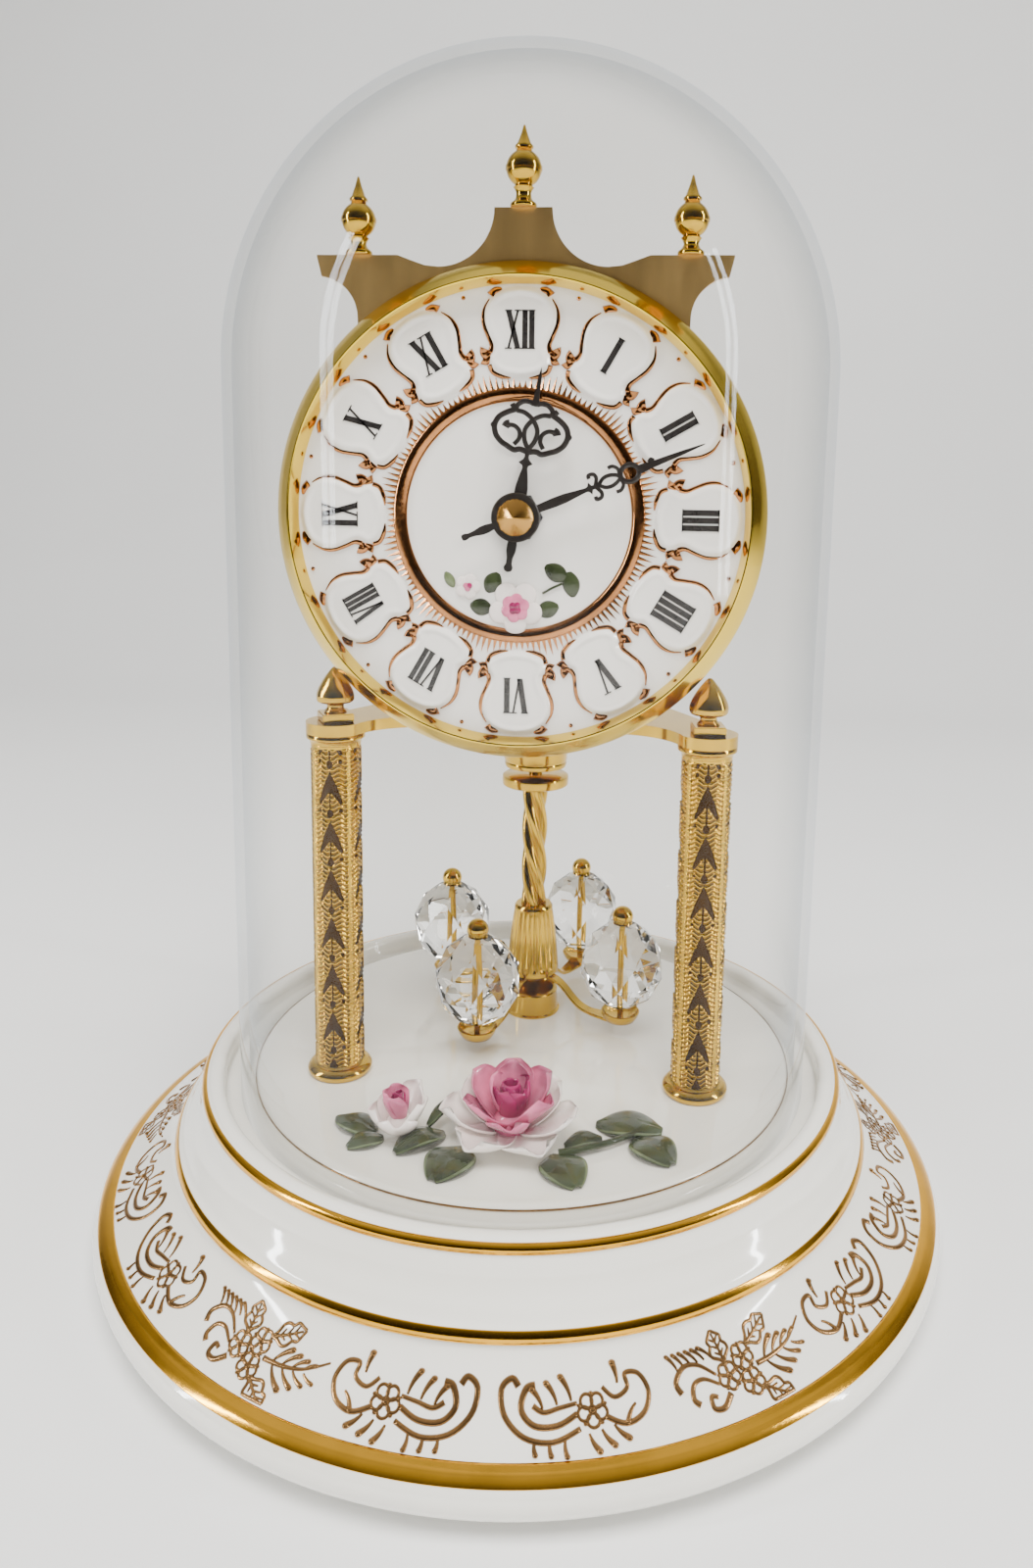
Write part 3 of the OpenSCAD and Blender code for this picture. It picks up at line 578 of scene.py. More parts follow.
def bouquet(shape, angle):
    """Large group: three flowers between leaves, scrolls and fans of commas."""
    s = Scroll(shape, angle)
    for x, y in ((-3.4, 0.4), (1.3, -1.9), (1.4, 3.0)):
        s.flower(x, y)
    s.leaf(-3.2, -2.0, 262, 6.2, 2.2)
    s.leaf(3.2, -3.6, -24, 8.4, 2.0)
    s.leaf(3.2, 4.4, 38, 7.4, 2.2)
    s.stroke([(-6.2, -0.6), (-9.5, -3.2), (-13.0, -3.6), (-15.6, -1.4), (-15.0, 0.8)], 0.3, 0.6)
    s.stroke([(-6.2, 1.2), (-9.2, -0.6), (-11.8, -0.2), (-12.8, 2.2), (-11.8, 3.6)], 0.3, 0.6)
    s.stroke([(-4.6, 3.4), (-7.0, 5.4), (-9.2, 5.0), (-9.0, 2.8), (-7.6, 3.2)], 0.6, 0.4)
    for k in range(6):
        s.comma(-6.0 - 1.7 * k, -3.8 + 0.1 * k, -118 + 3 * k, 3.1, -0.35, 0.42)
    s.stroke([(3.8, 0.4), (9, 0.2), (14, -0.8), (19.5, -3.4)], 0.5, 0.2)
    for k in range(4):
        s.comma(6.2 + 2.6 * k, 0.2 - 0.3 * k, -62 + 5 * k, 4.6 - 0.6 * k, 0.35, 0.6 - 0.06 * k)
        s.comma(6.6 + 2.6 * k, 0.8 - 0.3 * k, 60 - 6 * k, 5.0 - 0.7 * k, -0.3, 0.62 - 0.07 * k)


def spray(shape, angle, mirror=1):
    """Small group: a flower between an open scroll and long ribbons, with commas above and below."""
    s = Scroll(shape, angle, mirror)
    s.flower(-3.4, 0.2, 3.1)
    s.stroke(
        [
            (-6, 1.6), (-10, 3.4), (-14, 2.0), (-15.8, -1.4), (-14.4, -4.6), (-11.4, -5.0), (-11.4, -2.6),
            (-8.4, -1.4), (-6.0, -3.4)
        ],
        0.5, 0.4,
    )
    s.comma(-9.4, -3.6, -100, 3.4, 0.3)
    s.comma(-12.6, 0.2, 30, 3.4, 0.4, 0.5)
    s.stroke([(-0.2, 0.6), (4, 2.4), (8.6, 2.2), (11.2, -0.6), (10.2, -4.0), (8.2, -4.6)], 0.5, 0.62)
    s.stroke(
        [(-0.6, 3.2), (5, 5.2), (10.6, 4.2), (14.6, 0.4), (15.4, -4.0), (13.2, -5.8), (11.8, -4.4)],
        0.45, 0.6,
    )
    s.stroke([(-0.4, -1.2), (3.4, -0.6), (6.6, 0.0), (8.8, -1.2)], 0.35, 0.5)
    for k in range(3):
        s.comma(0.8 + 3.0 * k, -1.6 + 0.5 * k, -84 + 4 * k, 4.4 - 0.3 * k, 0.35, 0.58)
        s.comma(-7.4 + 2.6 * k, 3.2 + 0.5 * k, 118 - 8 * k, 3.6, 0.25, 0.6)
    for k in range(3):
        s.comma(2.6 + 3.0 * k, 5.0, 76, 2.8 - 0.3 * k, 0.3, 0.5)


def build_scrollwork():
    shape = Shape()
    for k in range(6):
        turn = 60 * k - 90 - 27
        bouquet(shape, turn)
        spray(shape, turn + 20.2)
        spray(shape, turn + 39.6, -1)
    shape.piece("base_scrollwork", LINE_GILT, "stand", "porcelain")


# ---- columns and plate ----


LEAF_PITCH = 13.3
HATCH_PITCH = 1.3
PANEL_HALF = 4.7


def leaf_mask(side, along):
    """Where the leaf lies: side is the distance from the panel's middle, along runs over one pitch."""
    y = along - 4.0
    blade = (side < 1.6 * (9 - y) / 3.4) & (y > 5.6)
    shoulder = (side < 2.4 * (7.2 - y) / 3.8) & (y > 3.4) & (y < 7.2)
    # Lower lobes: a band from the stem down and outwards, narrowing to its tip
    run = np.clip((5.0 - y) / 4.8, 0, 1)
    gap = np.abs(side - lerp(0.4, 3.0, run)) + np.abs(np.clip(y, 0.2, 5.0) - y)
    lobes = gap < lerp(1.5, 0.55, run)
    stem = (side < 0.28) & (y > -3) & (y < 5)
    drop = np.hypot(side, (y + 2.6) * 0.8) < 0.95
    beads = np.hypot(side - 2.9, y + 1.8) < 0.6
    return blade | shoulder | lobes | stem | drop | beads


def column_relief(angle, height):
    """Height of the embossed pattern in millimetres, and the faces given painted shade, the recessed leaves
    and the hatch valleys, from arrays.
    """
    repeats = 4
    across = (np.mod(angle / (2 * np.pi) * repeats + 0.5, 1.0) - 0.5) * (2 * np.pi * COLUMN_R / repeats)
    side = np.abs(across)
    inside = side < PANEL_HALF
    wave = np.sin(2 * np.pi * (height / HATCH_PITCH + 0.30 * np.sin(side * 1.9)))
    dots = 0.22 * np.abs(np.sin(np.pi * height / 1.0)) * np.exp(-(((side - PANEL_HALF) / 0.32) ** 2))
    rib = 0.14 * np.exp(-(((side - PANEL_HALF - 0.5) / 0.2) ** 2))
    leaf = leaf_mask(side, np.mod(height + 3.0, LEAF_PITCH)) & inside
    relief = 0.17 * wave * inside * (1 - leaf) + dots + rib - 0.30 * leaf
    return relief, leaf, inside & ~leaf & (wave < -0.2)


def build_column(name, x):
    low_z, high_z = PLATFORM + 0.05, COLUMN_TOP
    around = int(240 * SMOOTHNESS)
    rows_count = int(520 * SMOOTHNESS)
    angles = np.linspace(0, 2 * np.pi, around, endpoint=False)
    heights = np.linspace(low_z, high_z, rows_count)
    grid_a, grid_h = np.meshgrid(angles, heights)
    relief, leaf, valley = column_relief(grid_a + pi / 2, grid_h)
    fade = smoothstep(low_z + 3.0, low_z + 4.2, grid_h) * (1 - smoothstep(high_z - 1.4, high_z - 0.6, grid_h))
    radius = COLUMN_R - 0.15 + relief * fade
    xs, ys = x + radius * np.cos(grid_a), COLUMN_Y + radius * np.sin(grid_a)
    inner = COLUMN_R - 0.8
    rows = [[(x + inner * cos(a), COLUMN_Y + inner * sin(a), low_z) for a in angles]]
    rows += [list(zip(xs[i], ys[i], grid_h[i])) for i in range(rows_count)]
    rows += [[(x + inner * cos(a), COLUMN_Y + inner * sin(a), high_z) for a in angles]]
    shape = Shape()
    shape.grid(rows, True, True)
    # Painted shade: the recessed leaves get near-black brass and the hatch valleys darker brass
    for mark, slot in ((valley, 2), (leaf, 1)):
        for i, j in zip(*np.nonzero((mark & (fade > 0.5))[:-1])):
            shape.slots[(int(i) + 1) * around + int(j)] = slot
    shape.piece(name + "_tube", [EMBOSSED, PAINTED_LEAF_SHADE, PAINTED_VALLEY_SHADE], "stand", "embossed_brass", [name])


def build_column_fittings():
    feet, caps, nuts, acorns = Shape(), Shape(), Shape(), Shape()
    foot = spline([(7.0, 3.2), (7.6, 3.0), (8.3, 2.4), (8.75, 1.6), (8.6, 0.8), (8.2, 0.1)], 5)
    for x in (-COLUMN_X, COLUMN_X):
        at = upright((x, COLUMN_Y, PLATFORM))
        feet.lathe(
            [(COLUMN_R - 0.1, 3.6), (COLUMN_R + 0.05, 3.5), *foot, (COLUMN_R - 0.1, 0.05)],
            at, 96, closed=True,
        )
        at = upright((x, COLUMN_Y, PLATE_LOW))
        caps.lathe(
            [
                (5.8, -8), (5.8, -2.8), (6.7, -2.8), (6.8, -2.2), (7.2, -1.7), (7.7, -1.3), (7.75, -0.3),
                (7.5, -0.01), (2.0, -0.01), (2.0, -8)
            ],
            at, 96, closed=True,
        )
        at = upright((x, COLUMN_Y, low("acorn_finials").z))
        profile = [(0.01, 0), (2.9, 0), (3.0, 0.3), (2.7, 0.7), (2.25, 1.1), (2.2, 1.8), (2.4, 2.3)]
        profile += spline(
            [
                (2.6, 2.5), (4.3, 2.7), (4.95, 3.4), (5.1, 4.4), (4.8, 5.7), (4.0, 7.4), (2.6, 9.6),
                (1.3, 11.2), (0.5, 12.0), (0.01, 12.1)
            ],
            4,
        )
        acorns.lathe(profile, at, 72, radius=lambda r, a, h: r * (1 - 0.035 * abs(sin(4 * a)) * (h > 3.4)))
    for side, turn in ((-1, 28), (1, 6)):
        square = circle((side * COLUMN_X, COLUMN_Y), 4.1 * 2**0.5, 4, turn + 45)
        nuts.plate(square, lambda u, v, h: (u, v, PLATE_TOP + h), 2.3, bevel=0.25)
    feet.piece("turned_feet", BRASS, "stand", "polished_brass", ["column_feet"], crease=60)
    caps.piece("turned_caps", BRASS, "stand", "polished_brass", ["column_caps"], crease=45)
    acorns.piece("turned_acorns", BRASS, "stand", "polished_brass", ["acorn_finials"])
    nuts.piece("bevelled_nuts", BRASS, "stand", "polished_brass", ["square_nuts"])


# ---- head: bezel, crown and spires ----


BEZEL_SEAT = 57.6


def build_bezel():
    profile = [
        (BEZEL_SEAT, -FLANGE_Y), (BEZEL_R - 0.3, -FLANGE_Y), (BEZEL_R, -FLANGE_Y + 0.4), (BEZEL_R, 28.5),
        (BEZEL_R - 0.15, 28.9), (58.9, 31.4), (57.2, 33.5), (56.9, -CREST_Y), (56.6, 33.5), (55.9, 31.2),
        (55.5, 28.9), (55.7, 28.55), (BEZEL_SEAT, 28.55),
    ]
    bezel = Shape().lathe(profile, facing, 256, closed=True)
    bezel.piece("polished_bezel", BRASS_BRIGHT, "stand", "polished_brass", ["bezel"], crease=25)


def build_crown():
    peak, shoulder = PEAK_Z, SHOULDER_Z
    right = [(7.0, peak)]
    right += arc((20.7, peak), 13.7, 180, 270, 16)
    right += spline([(24.0, peak - 13.4), (27.5, peak - 12.2), (30.8, shoulder)], 4)[0:-1]
    right += [(30.8, shoulder), (50.9, shoulder), (49.7, shoulder - 5)]
    right += arc((50.6, 244.4), 9.8, 96, 176, 12)[1:]
    right += [(40.6, 237.5)]
    left = [(-u, v) for u, v in reversed(right)]
    start = atan2(right[-1][1] - HEAD_Z, right[-1][0])
    below = arc((0, HEAD_Z), BEZEL_SEAT, degrees(start), 180 - degrees(start), 40)
    outline = right + below[1:-1] + left
    crown = Shape()
    crown.plate(outline, lambda u, v, h: (u, CROWN_Y + 1 - h, v), 1.0, bevel=0.12)
    crown.piece("crown_sheet", BRASS_SHEET, "stand", "polished_brass", ["crown"])


def spire(shape, x, z, neck, ball_r, cone):
    """Turned spire on a point of the crown: neck and cone are heights, ball_r the radius of its ball."""
    top = neck + 2 * ball_r
    middle_z = neck + ball_r
    profile = [(0.01, 0), (3.1, 0), (3.25, 0.4), (3.1, 0.9), (2.5, 1.3), (1.95, 2.1)]
    profile += [(1.8, neck - 1.4), (2.1, neck - 0.6), (2.5, neck - 0.1), (2.2, neck + 0.15)]
    for k in range(1, 12):
        a = pi * k / 12
        r = ball_r * sin(a)
        if k == 6:
            band = ((-0.1, -0.55), (0.12, -0.45), (0.12, 0.45), (-0.1, 0.55))
            profile += [(r + u, middle_z + h) for u, h in band]
        elif r > 1.5:
            profile.append((r, neck + ball_r * (1 - cos(a))))
    profile += [(1.7, top + 0.1), (2.2, top + 0.3), (2.2, top + 0.8), (1.75, top + 1.2)]
    profile += [(0.8, top + cone * 0.62), (0.25, top + cone - 0.2), (0.01, top + cone)]
    shape.lathe(profile, upright((x, CROWN_Y + 0.5, z)), 48)


def build_spires():
    centre, sides = Shape(), Shape()
    spire(centre, 0, PEAK_Z, 4.6, 4.3, 5.6)
    for x in (-SPIRE_X, SPIRE_X):
        spire(sides, x, SHOULDER_Z, 4, 4.15, 6)
    centre.piece("turned_centre_spire", BRASS, "stand", "polished_brass", ["centre_spire"], crease=50)
    sides.piece("turned_side_spires", BRASS, "stand", "polished_brass", ["side_spires"], crease=50)


# ---- dial ----

# Raised cartouche round a numeral, as (sideways, outwards) on its right-hand side
CARTOUCHE = [
    (0, 55.1), (4.2, 54.4), (7.6, 52.2), (9.0, 48.6), (8.6, 45.0), (7.2, 42.2), (6.6, 40.2), (7.5, 38.2),
    (7.0, 35.8), (4.2, 33.9), (0, 33.2),
]


def distance_inside(points, outline):
    """Signed distance of points from a closed outline, positive inside."""
    px, py = points[:, 0][:, None], points[:, 1][:, None]
    a = np.array(outline)
    b = np.roll(a, -1, axis=0)
    d = b - a
    t = np.clip(((px - a[:, 0]) * d[:, 0] + (py - a[:, 1]) * d[:, 1]) / (d**2).sum(1), 0, 1)
    dist = np.sqrt((px - a[:, 0] - t * d[:, 0]) ** 2 + (py - a[:, 1] - t * d[:, 1]) ** 2).min(1)
    spans = (a[:, 1] > py) != (b[:, 1] > py)
    crossing = d[:, 0] * (py - a[:, 1]) / np.where(d[:, 1] == 0, 1e-9, d[:, 1]) + a[:, 0]
    inside = (spans & (px < crossing)).sum(1) % 2 == 1
    return np.where(inside, dist, -dist)


HALF_OUTLINE = spline(CARTOUCHE, 4)
OUTLINE = HALF_OUTLINE + [(-s, t) for s, t in reversed(HALF_OUTLINE[1:-1])]
DIAL_R = 57.4
DIAL_HOLE_R = 4.05
INNER_RING_R = 31.6


def dial_height(s, t):
    """Relief of the dial at a place (sideways, outwards) of one hour's sector, as arrays."""
    depth = distance_inside(np.stack([s, t], 1), OUTLINE)
    pad = 1.35 * smoothstep(-0.4, 1.5, depth) - 0.35 * smoothstep(1.2, 2.7, depth)
    radius = np.hypot(s, t)
    ring = 0.55 * np.exp(-(((radius - INNER_RING_R) / 1.1) ** 2))
    return pad + ring


def build_dial():
    hours = 12
    per_hour = int(44 * SMOOTHNESS)
    radii = np.concatenate([
        [DIAL_HOLE_R, 12, 20, 26, 27.4], np.linspace(28.0, DIAL_R, int(118 * SMOOTHNESS)),
    ])
    local = (np.arange(per_hour) / per_hour - 0.5) * (2 * np.pi / hours)
    heights = np.zeros((len(radii), per_hour))
    for i, r in enumerate(radii):
        if r > 27.9:
            heights[i] = dial_height(r * np.sin(local), r * np.cos(local))
            heights[i] *= 1 - smoothstep(55.2, 56.6, np.full(per_hour, r)) * 0.9
    back = np.full(per_hour, DIAL_Y - FLANGE_Y)
    turn = [2 * pi * h / hours + a for h in range(hours) for a in local]
    rows = []
    for r, relief in [*zip(radii, heights), (DIAL_R, back), (DIAL_HOLE_R, back)]:
        rows.append([on_dial(r * sin(a), r * cos(a), relief[k % per_hour]) for k, a in enumerate(turn)])
    shape = Shape()
    shape.grid(rows, True, True)
    shape.piece("relief_dial", DIAL_WHITE, "stand", "dial_porcelain", ["dial"], crease=70)


def surface_at(s, t):
    """Height of the dial's relief at a place of one hour's sector."""
    return float(dial_height(np.array([s]), np.array([t]))[0])


DIAL_STROKE_WEIGHT = 1.75


def build_dial_gilding():
    ring = Shape().lathe(
        [
            (27.9, 28.3), (28.1, 29.0), (29.0, 29.5), (30.0, 29.65), (31.0, 29.4), (31.5, 28.95),
            (INNER_RING_R, 28.3)
        ],
        facing, 256, closed=True,
    )
    strokes = Shape()

    def stroke(points, angle, width, mirror=1, ends=(0.4, 0.4)):
        path = spline(points, 5)
        world, radii = [], []
        for k, (s, t) in enumerate(path):
            u, v = clock(mirror * s, t, angle)
            world.append(on_dial(u, v, surface_at(mirror * s, t) + 0.12))
            x = k / (len(path) - 1)
            end, away = (ends[0], x) if x < 0.5 else (ends[1], 1 - x)
            radii.append(DIAL_STROKE_WEIGHT * width * lerp(end, 1, min(1, away * 3)))
        strokes.tube(world, radii, sides=6, flat=0.5, normal=(0, -1, 0))

    for hour in range(12):
        angle = 30 * hour
        for mirror in (-1, 1):
            # Side line with its scroll, the scroll's curl, the teardrop at the top and the arc at the foot
            stroke(
                [(7.6, 52.0), (8.9, 49.4), (8.9, 46.4), (7.8, 43.4), (6.9, 41.2), (7.3, 39.4)],
                angle, 0.34, mirror, (0.25, 1.3),
            )
            stroke([(7.3, 39.4), (8.3, 38.6), (9.0, 39.4), (8.7, 40.4)], angle, 0.50, mirror, (0.6, 1.5))
            stroke([(7.4, 38.6), (8.2, 37.2), (9.2, 37.6)], angle, 0.42, mirror, (0.6, 1.5))
            stroke([(4.6, 54.4), (6.4, 53.6), (7.2, 52.7)], angle, 0.62, mirror, (0.3, 1.2))
            stroke([(7.3, 36.6), (6.6, 34.9), (4.4, 33.9), (2.2, 33.5)], angle, 0.36, mirror, (1.2, 0.2))
        u, v = clock(0, 54.0, angle + 15)
        strokes.ball(on_dial(u, v, 0.15), 0.55, rings=5, sides=8, squash=(1, 0.5, 1))
    strokes.piece("dial_scrolls", COPPER_GILT, "stand", "dial_porcelain")

    # Fringe of spikes, longest between the hours
    spikes, half = 144, 0.52
    foot = surface_at(0, INNER_RING_R) + 0.1
    for k in range(spikes):
        angle = 360 * k / spikes
        near = abs(((angle / 30) % 1) - 0.5) * 2
        reach = 33.0 + 2.6 * (1 - near) ** 1.4 + random.uniform(-0.35, 0.35)
        tip = surface_at(*clock(0, reach, ((angle + 15) % 30) - 15)) + 0.12
        corners = ((-half, 31.2, foot), (half, 31.2, foot), (0, reach, tip), (0, 31.2, foot + 0.3))
        verts = [on_dial(*clock(s, t, angle), h) for s, t, h in corners]
        ring.add(verts, [(0, 1, 3), (1, 2, 3), (2, 0, 3), (0, 2, 1)], smooth=False)
    ring.piece("gilt_ring", COPPER_GILT, "stand", "dial_porcelain", crease=50)


STROKE, THIN = 1.42, 0.5
NUMERALS = ["XII", "I", "II", "III", "IIII", "V", "VI", "VII", "VIII", "IX", "X", "XI"]
WIDTHS = {"I": 1.85, "V": 4.6, "X": 4.5}


def build_numerals():
    """Raised black hour figures with their feet towards the centre."""
    shape = Shape()
    low_t, high_t = 40.4, 49.2
    for hour, text in enumerate(NUMERALS):
        angle = 30 * hour
        squeeze = min(1.0, 7.4 / sum(WIDTHS[c] for c in text))
        at = -sum(WIDTHS[c] for c in text) * squeeze / 2

        def place(s, t, h, angle=angle):
            return on_dial(*clock(s, t, angle), 1.05 + h)

        def bar(s0, s1, width, low_t=low_t, high_t=high_t):
            w = width / 2
            shape.plate([(s0 - w, low_t), (s0 + w, low_t), (s1 + w, high_t), (s1 - w, high_t)], place, 0.18)

        def serif(s, t, width):
            bar(s, s, width, low_t=t - 0.14, high_t=t + 0.14)

        for letter in text:
            w = WIDTHS[letter] * squeeze
            c = at + w / 2
            if letter == "I":
                bar(c, c, STROKE * squeeze)
                for t in (low_t, high_t):
                    serif(c, t, w * 0.98)
            elif letter == "V":
                bar(c, c - w * 0.30, STROKE * squeeze)
                bar(c + 0.1, c + w * 0.34, THIN)
                for s in (-0.30, 0.34):
                    serif(c + s * w, high_t, 1.9 * squeeze)
            else:
                bar(c + w * 0.28, c - w * 0.28, STROKE * squeeze)
                bar(c - w * 0.28, c + w * 0.28, THIN)
                for s in (-0.28, 0.28):
                    for t in (low_t, high_t):
                        serif(c + s * w, t, 1.9 * squeeze)
            at += w
    shape.piece("numerals", INK, "stand", "dial_porcelain")


def dial_leaf(shape, u, v, turn, length, width, mat):
    rows = []
    c, s = cos(radians(turn)), sin(radians(turn))
    for i in range(9):
        t = i / 8
        half = width / 2 * sin(pi * (0.04 + 0.92 * t)) ** 0.7
        row = []
        for k in range(10):
            a = 2 * pi * k / 10
            x, y = length * (t - 0.5), half * cos(a)
            rise = 0.55 * sin(a) * sin(pi * (0.05 + 0.9 * t)) + 0.12 * (abs(y) < 0.3)
            row.append(on_dial(u + x * c - y * s, v + x * s + y * c, max(0.02, rise)))
        rows.append(row)
    shape.grid(rows, mat=mat, caps=True)


def build_dial_flowers():
    shape = Shape()
    rose, bud = (-0.4, -22.5), (-12.5, -17.5)
    for u, v, turn, length, width in (
        (-6.3, -16.4, 60, 5.6, 4.6), (-9.2, -22.6, 170, 5.6, 4.4), (7.6, -22.8, 20, 5.8, 4.4),
        (9.6, -13.6, 150, 6.4, 4.6), (13.4, -16.4, 100, 6.4, 4.4),
    ):
        dial_leaf(shape, u, v, turn, length, width, 3)
    dial_leaf(shape, -17.2, -15.9, 120, 4.4, 2.6, 4)
    shape.tube([on_dial(6.3, -18.8, 0.3), on_dial(8.6, -17.4, 0.4), on_dial(11.2, -16.2, 0.4)], 0.32, mat=3)
    # Rings of petals: middle, number, first angle, ring radius, height, size, flatness, materials, mesh
    for centre, count, start, out, height, size, flat, mats, mesh in (
        (rose, 5, 126, 3.9, 0.5, 3.0, 0.32, (0,), (10, 18)),
        (rose, 6, 20, 2.0, 1.3, 1.7, 0.42, (1,), (8, 14)),
        (rose, 4, 50, 0.8, 1.9, 0.9, 0.50, (2,), (8, 12)),
        (bud, 5, 0, 1.7, 0.4, 1.6, 0.36, (0,), (8, 14)),
        (bud, 3, 30, 0.5, 0.9, 0.75, 0.50, (2, 1, 1), (8, 12)),
    ):
        for k, (u, v) in enumerate(circle(centre, out, count, start)):
            shape.ball(on_dial(u, v, height), size, mats[k % len(mats)], *mesh, squash=(1, flat, 1))
    shape.piece(
        "dial_flowers", [PETAL_PALE, PETAL_PINK, PETAL_DEEP, LEAF, LEAF_PALE], "stand", "dial_porcelain",
    )


# ---- hands ----


WIRE_WEIGHT = 1.35


class Hand:
    """Flat pierced hand; local s runs sideways and t outwards, in millimetres."""

    def __init__(self, angle, back, front):
        self.shape, self.angle, self.back, self.front = Shape(), angle, back, front

    def place(self, s, t, h):
        u, v = clock(s, t, self.angle)
        return (u, self.back - h, HEAD_Z + v)

    def blade(self, half):
        """Flat blade from its right-hand side, foot to tip; points on the middle line aren't mirrored."""
        outline = half + [(-s, t) for s, t in reversed(half) if s > 0.001]
        self.shape.plate(outline, self.place, self.back - self.front, bevel=0.1)

    def wire(self, points, width, closed=False):
        width *= WIRE_WEIGHT
        thick = (self.back - self.front) / 2
        path = [Vector(self.place(s, t, thick)) for s, t in spline(points, 5, closed)]
        self.shape.tube(path, width, sides=8, flat=min(1.0, thick / width), normal=(0, 1, 0), closed=closed)

    def pair(self, points, width):
        """Two wires, one the mirror image of the other."""
        for mirror in (-1, 1):
            self.wire([(mirror * s, t) for s, t in points], width)

    def boss(self, radius, front, back):
        self.shape.lathe(
            [
                (0.01, -back), (radius, -back), (radius, -front - 0.3), (radius - 0.3, -front),
                (0.01, -front)
            ],
            facing, 64,
        )


def build_hour_hand():
    hand = Hand(HOUR_ANGLE, -31.8, -32.6)
    hand.blade([
        (0, -13.6), (0.9, -13.2), (1.15, -12.4), (0.7, -11.5), (0.75, -10), (1.15, -8.4), (1.2, -6.8),
        (0.8, -4.4), (0.6, -3),
    ])
    hand.blade([
        (1.5, 3), (1.6, 5.6), (1.5, 7.4), (1.15, 9.6), (0.6, 12), (0.75, 12.6), (1.8, 13.2), (0.75, 14.1),
        (0.5, 14.7), (0.6, 16.2), (0, 16.6),
    ])
    # Outer loop with its top lobe, then the crossing arcs, the inner curl and the pointed knobs
    hand.pair(
        [
            (0, 15.9), (2.0, 16.3), (3.4, 15.9), (5.2, 16.6), (6.9, 17.4), (8.4, 18.9), (9.0, 21.0),
            (8.3, 23.0), (6.6, 24.4), (4.6, 25.4)
        ],
        0.52,
    )
    hand.pair([(4.6, 25.4), (4.2, 26.6), (2.9, 27.6), (1.4, 27.7), (0.4, 27.3)], 0.46)
    hand.pair([(4.2, 25.2), (2.2, 25.0), (0, 23.6), (-1.5, 21.2), (-1.2, 18.6), (0, 16.6)], 0.44)
    hand.pair([(6.2, 21.4), (4.4, 21.6), (2.9, 20.6), (2.6, 18.8), (3.6, 17.2)], 0.42)
    hand.pair([(6.4, 20.9), (6.1, 21.6), (5.4, 21.9)], 0.72)
    hand.pair([(8.8, 20.4), (9.5, 21.0), (8.8, 21.6)], 0.42)
    hand.pair([(4.0, 25.4), (5.1, 26.0), (5.6, 26.6)], 0.5)
    hand.blade([(0.4, 26.8), (1.0, 27.6), (0.75, 28.5), (0.6, 30.4), (0.5, 32), (0.4, 34), (0, 36.2)])
    hand.boss(5.6, -32.8, -31.0)
    hand.shape.piece("pierced_hour_hand", BLACK, "hour_work", "hand_black", ["hour_hand"], crease=40)


def build_minute_hand():
    hand = Hand(MINUTE_ANGLE, -34.1, -34.7)
    hand.blade([
        (0, -14.2), (0.7, -14), (0.85, -13.2), (0.55, -12.3), (0.65, -10.8), (1.05, -9), (1.05, -7.4),
        (0.7, -5.2), (0.5, -3),
    ])
    hand.blade([
        (0.9, 3), (1.0, 7), (1.15, 10), (1.1, 13), (0.75, 16), (0.5, 18.4), (0.7, 18.9), (1.6, 19.4),
        (0.55, 19.9), (0.45, 21), (0.5, 21.8), (0, 22.2),
    ])
    # Lower pair of scrolls, almond, upper pair of scrolls
    hand.pair([(0.2, 20.8), (1.8, 21.6), (2.9, 21.2), (3.0, 20.0), (2.2, 19.9)], 0.36)
    hand.pair([(0, 21.6), (1.1, 23.0), (1.3, 24.6), (0.8, 26.2), (0, 27.2)], 0.36)
    hand.pair([(0.3, 27.0), (1.9, 27.2), (3.0, 26.2), (3.0, 25.0)], 0.34)
    hand.wire(circle((0, 29.5), 2.0, 12, squash=2.3 / 2.0), 0.46, closed=True)
    hand.blade([
        (0.55, 31.4), (1.05, 32.2), (1.0, 33.6), (0.8, 35), (0.7, 38), (0.5, 43), (0.15, 48.2), (0, 48.7),
    ])
    hand.wire([(-0.8, 34.6), (-1.3, 35.3), (-0.7, 35.9)], 0.34)
    hand.boss(6.0, -34.9, -33.9)
    hand.shape.piece("pierced_minute_hand", BLACK, "minute_work", "hand_black", ["minute_hand"], crease=40)


def build_hand_nut():
    def knurled(r, a, h):
        return r * (1 - 0.025 * (r > 4.2) * (sin(45 * a) > 0))

    nut = Shape().lathe(
        [
            (0.01, 34.9), (4.2, 34.9), (4.45, 35.2), (4.45, 35.7), (4.1, 36.0), (2.2, 37.4), (0.4, 38.5),
            (0.01, 38.7)
        ],
        facing, 180, radius=knurled,
    )
    nut.piece("turned_hand_nut", BRONZE, "minute_work", "polished_brass", ["hand_nut"], crease=40)


# ---- pendulum ----


AXIS = (0, PENDULUM_Y, 0)


def build_hanger():
    z = low("hanger").z
    profile = [(0.01, z), (9.5, z), (9.9, z + 0.3), (10.0, z + 0.8), (10.0, z + 2.4), (9.9, z + 2.9)]
    profile += [(9.4, z + 3.2), (2.0, z + 3.2), (2.0, 152), (0.01, 152)]
    hanger = Shape().lathe(profile, upright(AXIS), 96)
    hanger.piece("turned_hanger", BRASS, "pendulum", "polished_brass", ["hanger"], crease=40)


def build_neck():
    bush = Shape().lathe(
        [
            (9.5, 139), (9.5, 123.2), (9.2, 122.6), (9.4, 122.0), (9.1, 121.0), (2.3, 121.0), (2.3, 145.4),
            (6, 145.4), (6, 139)
        ],
        upright(AXIS), 96, closed=True,
    )
    bush.piece("turned_neck", BRASS, "stand", "polished_brass", ["neck_bush"], crease=40)


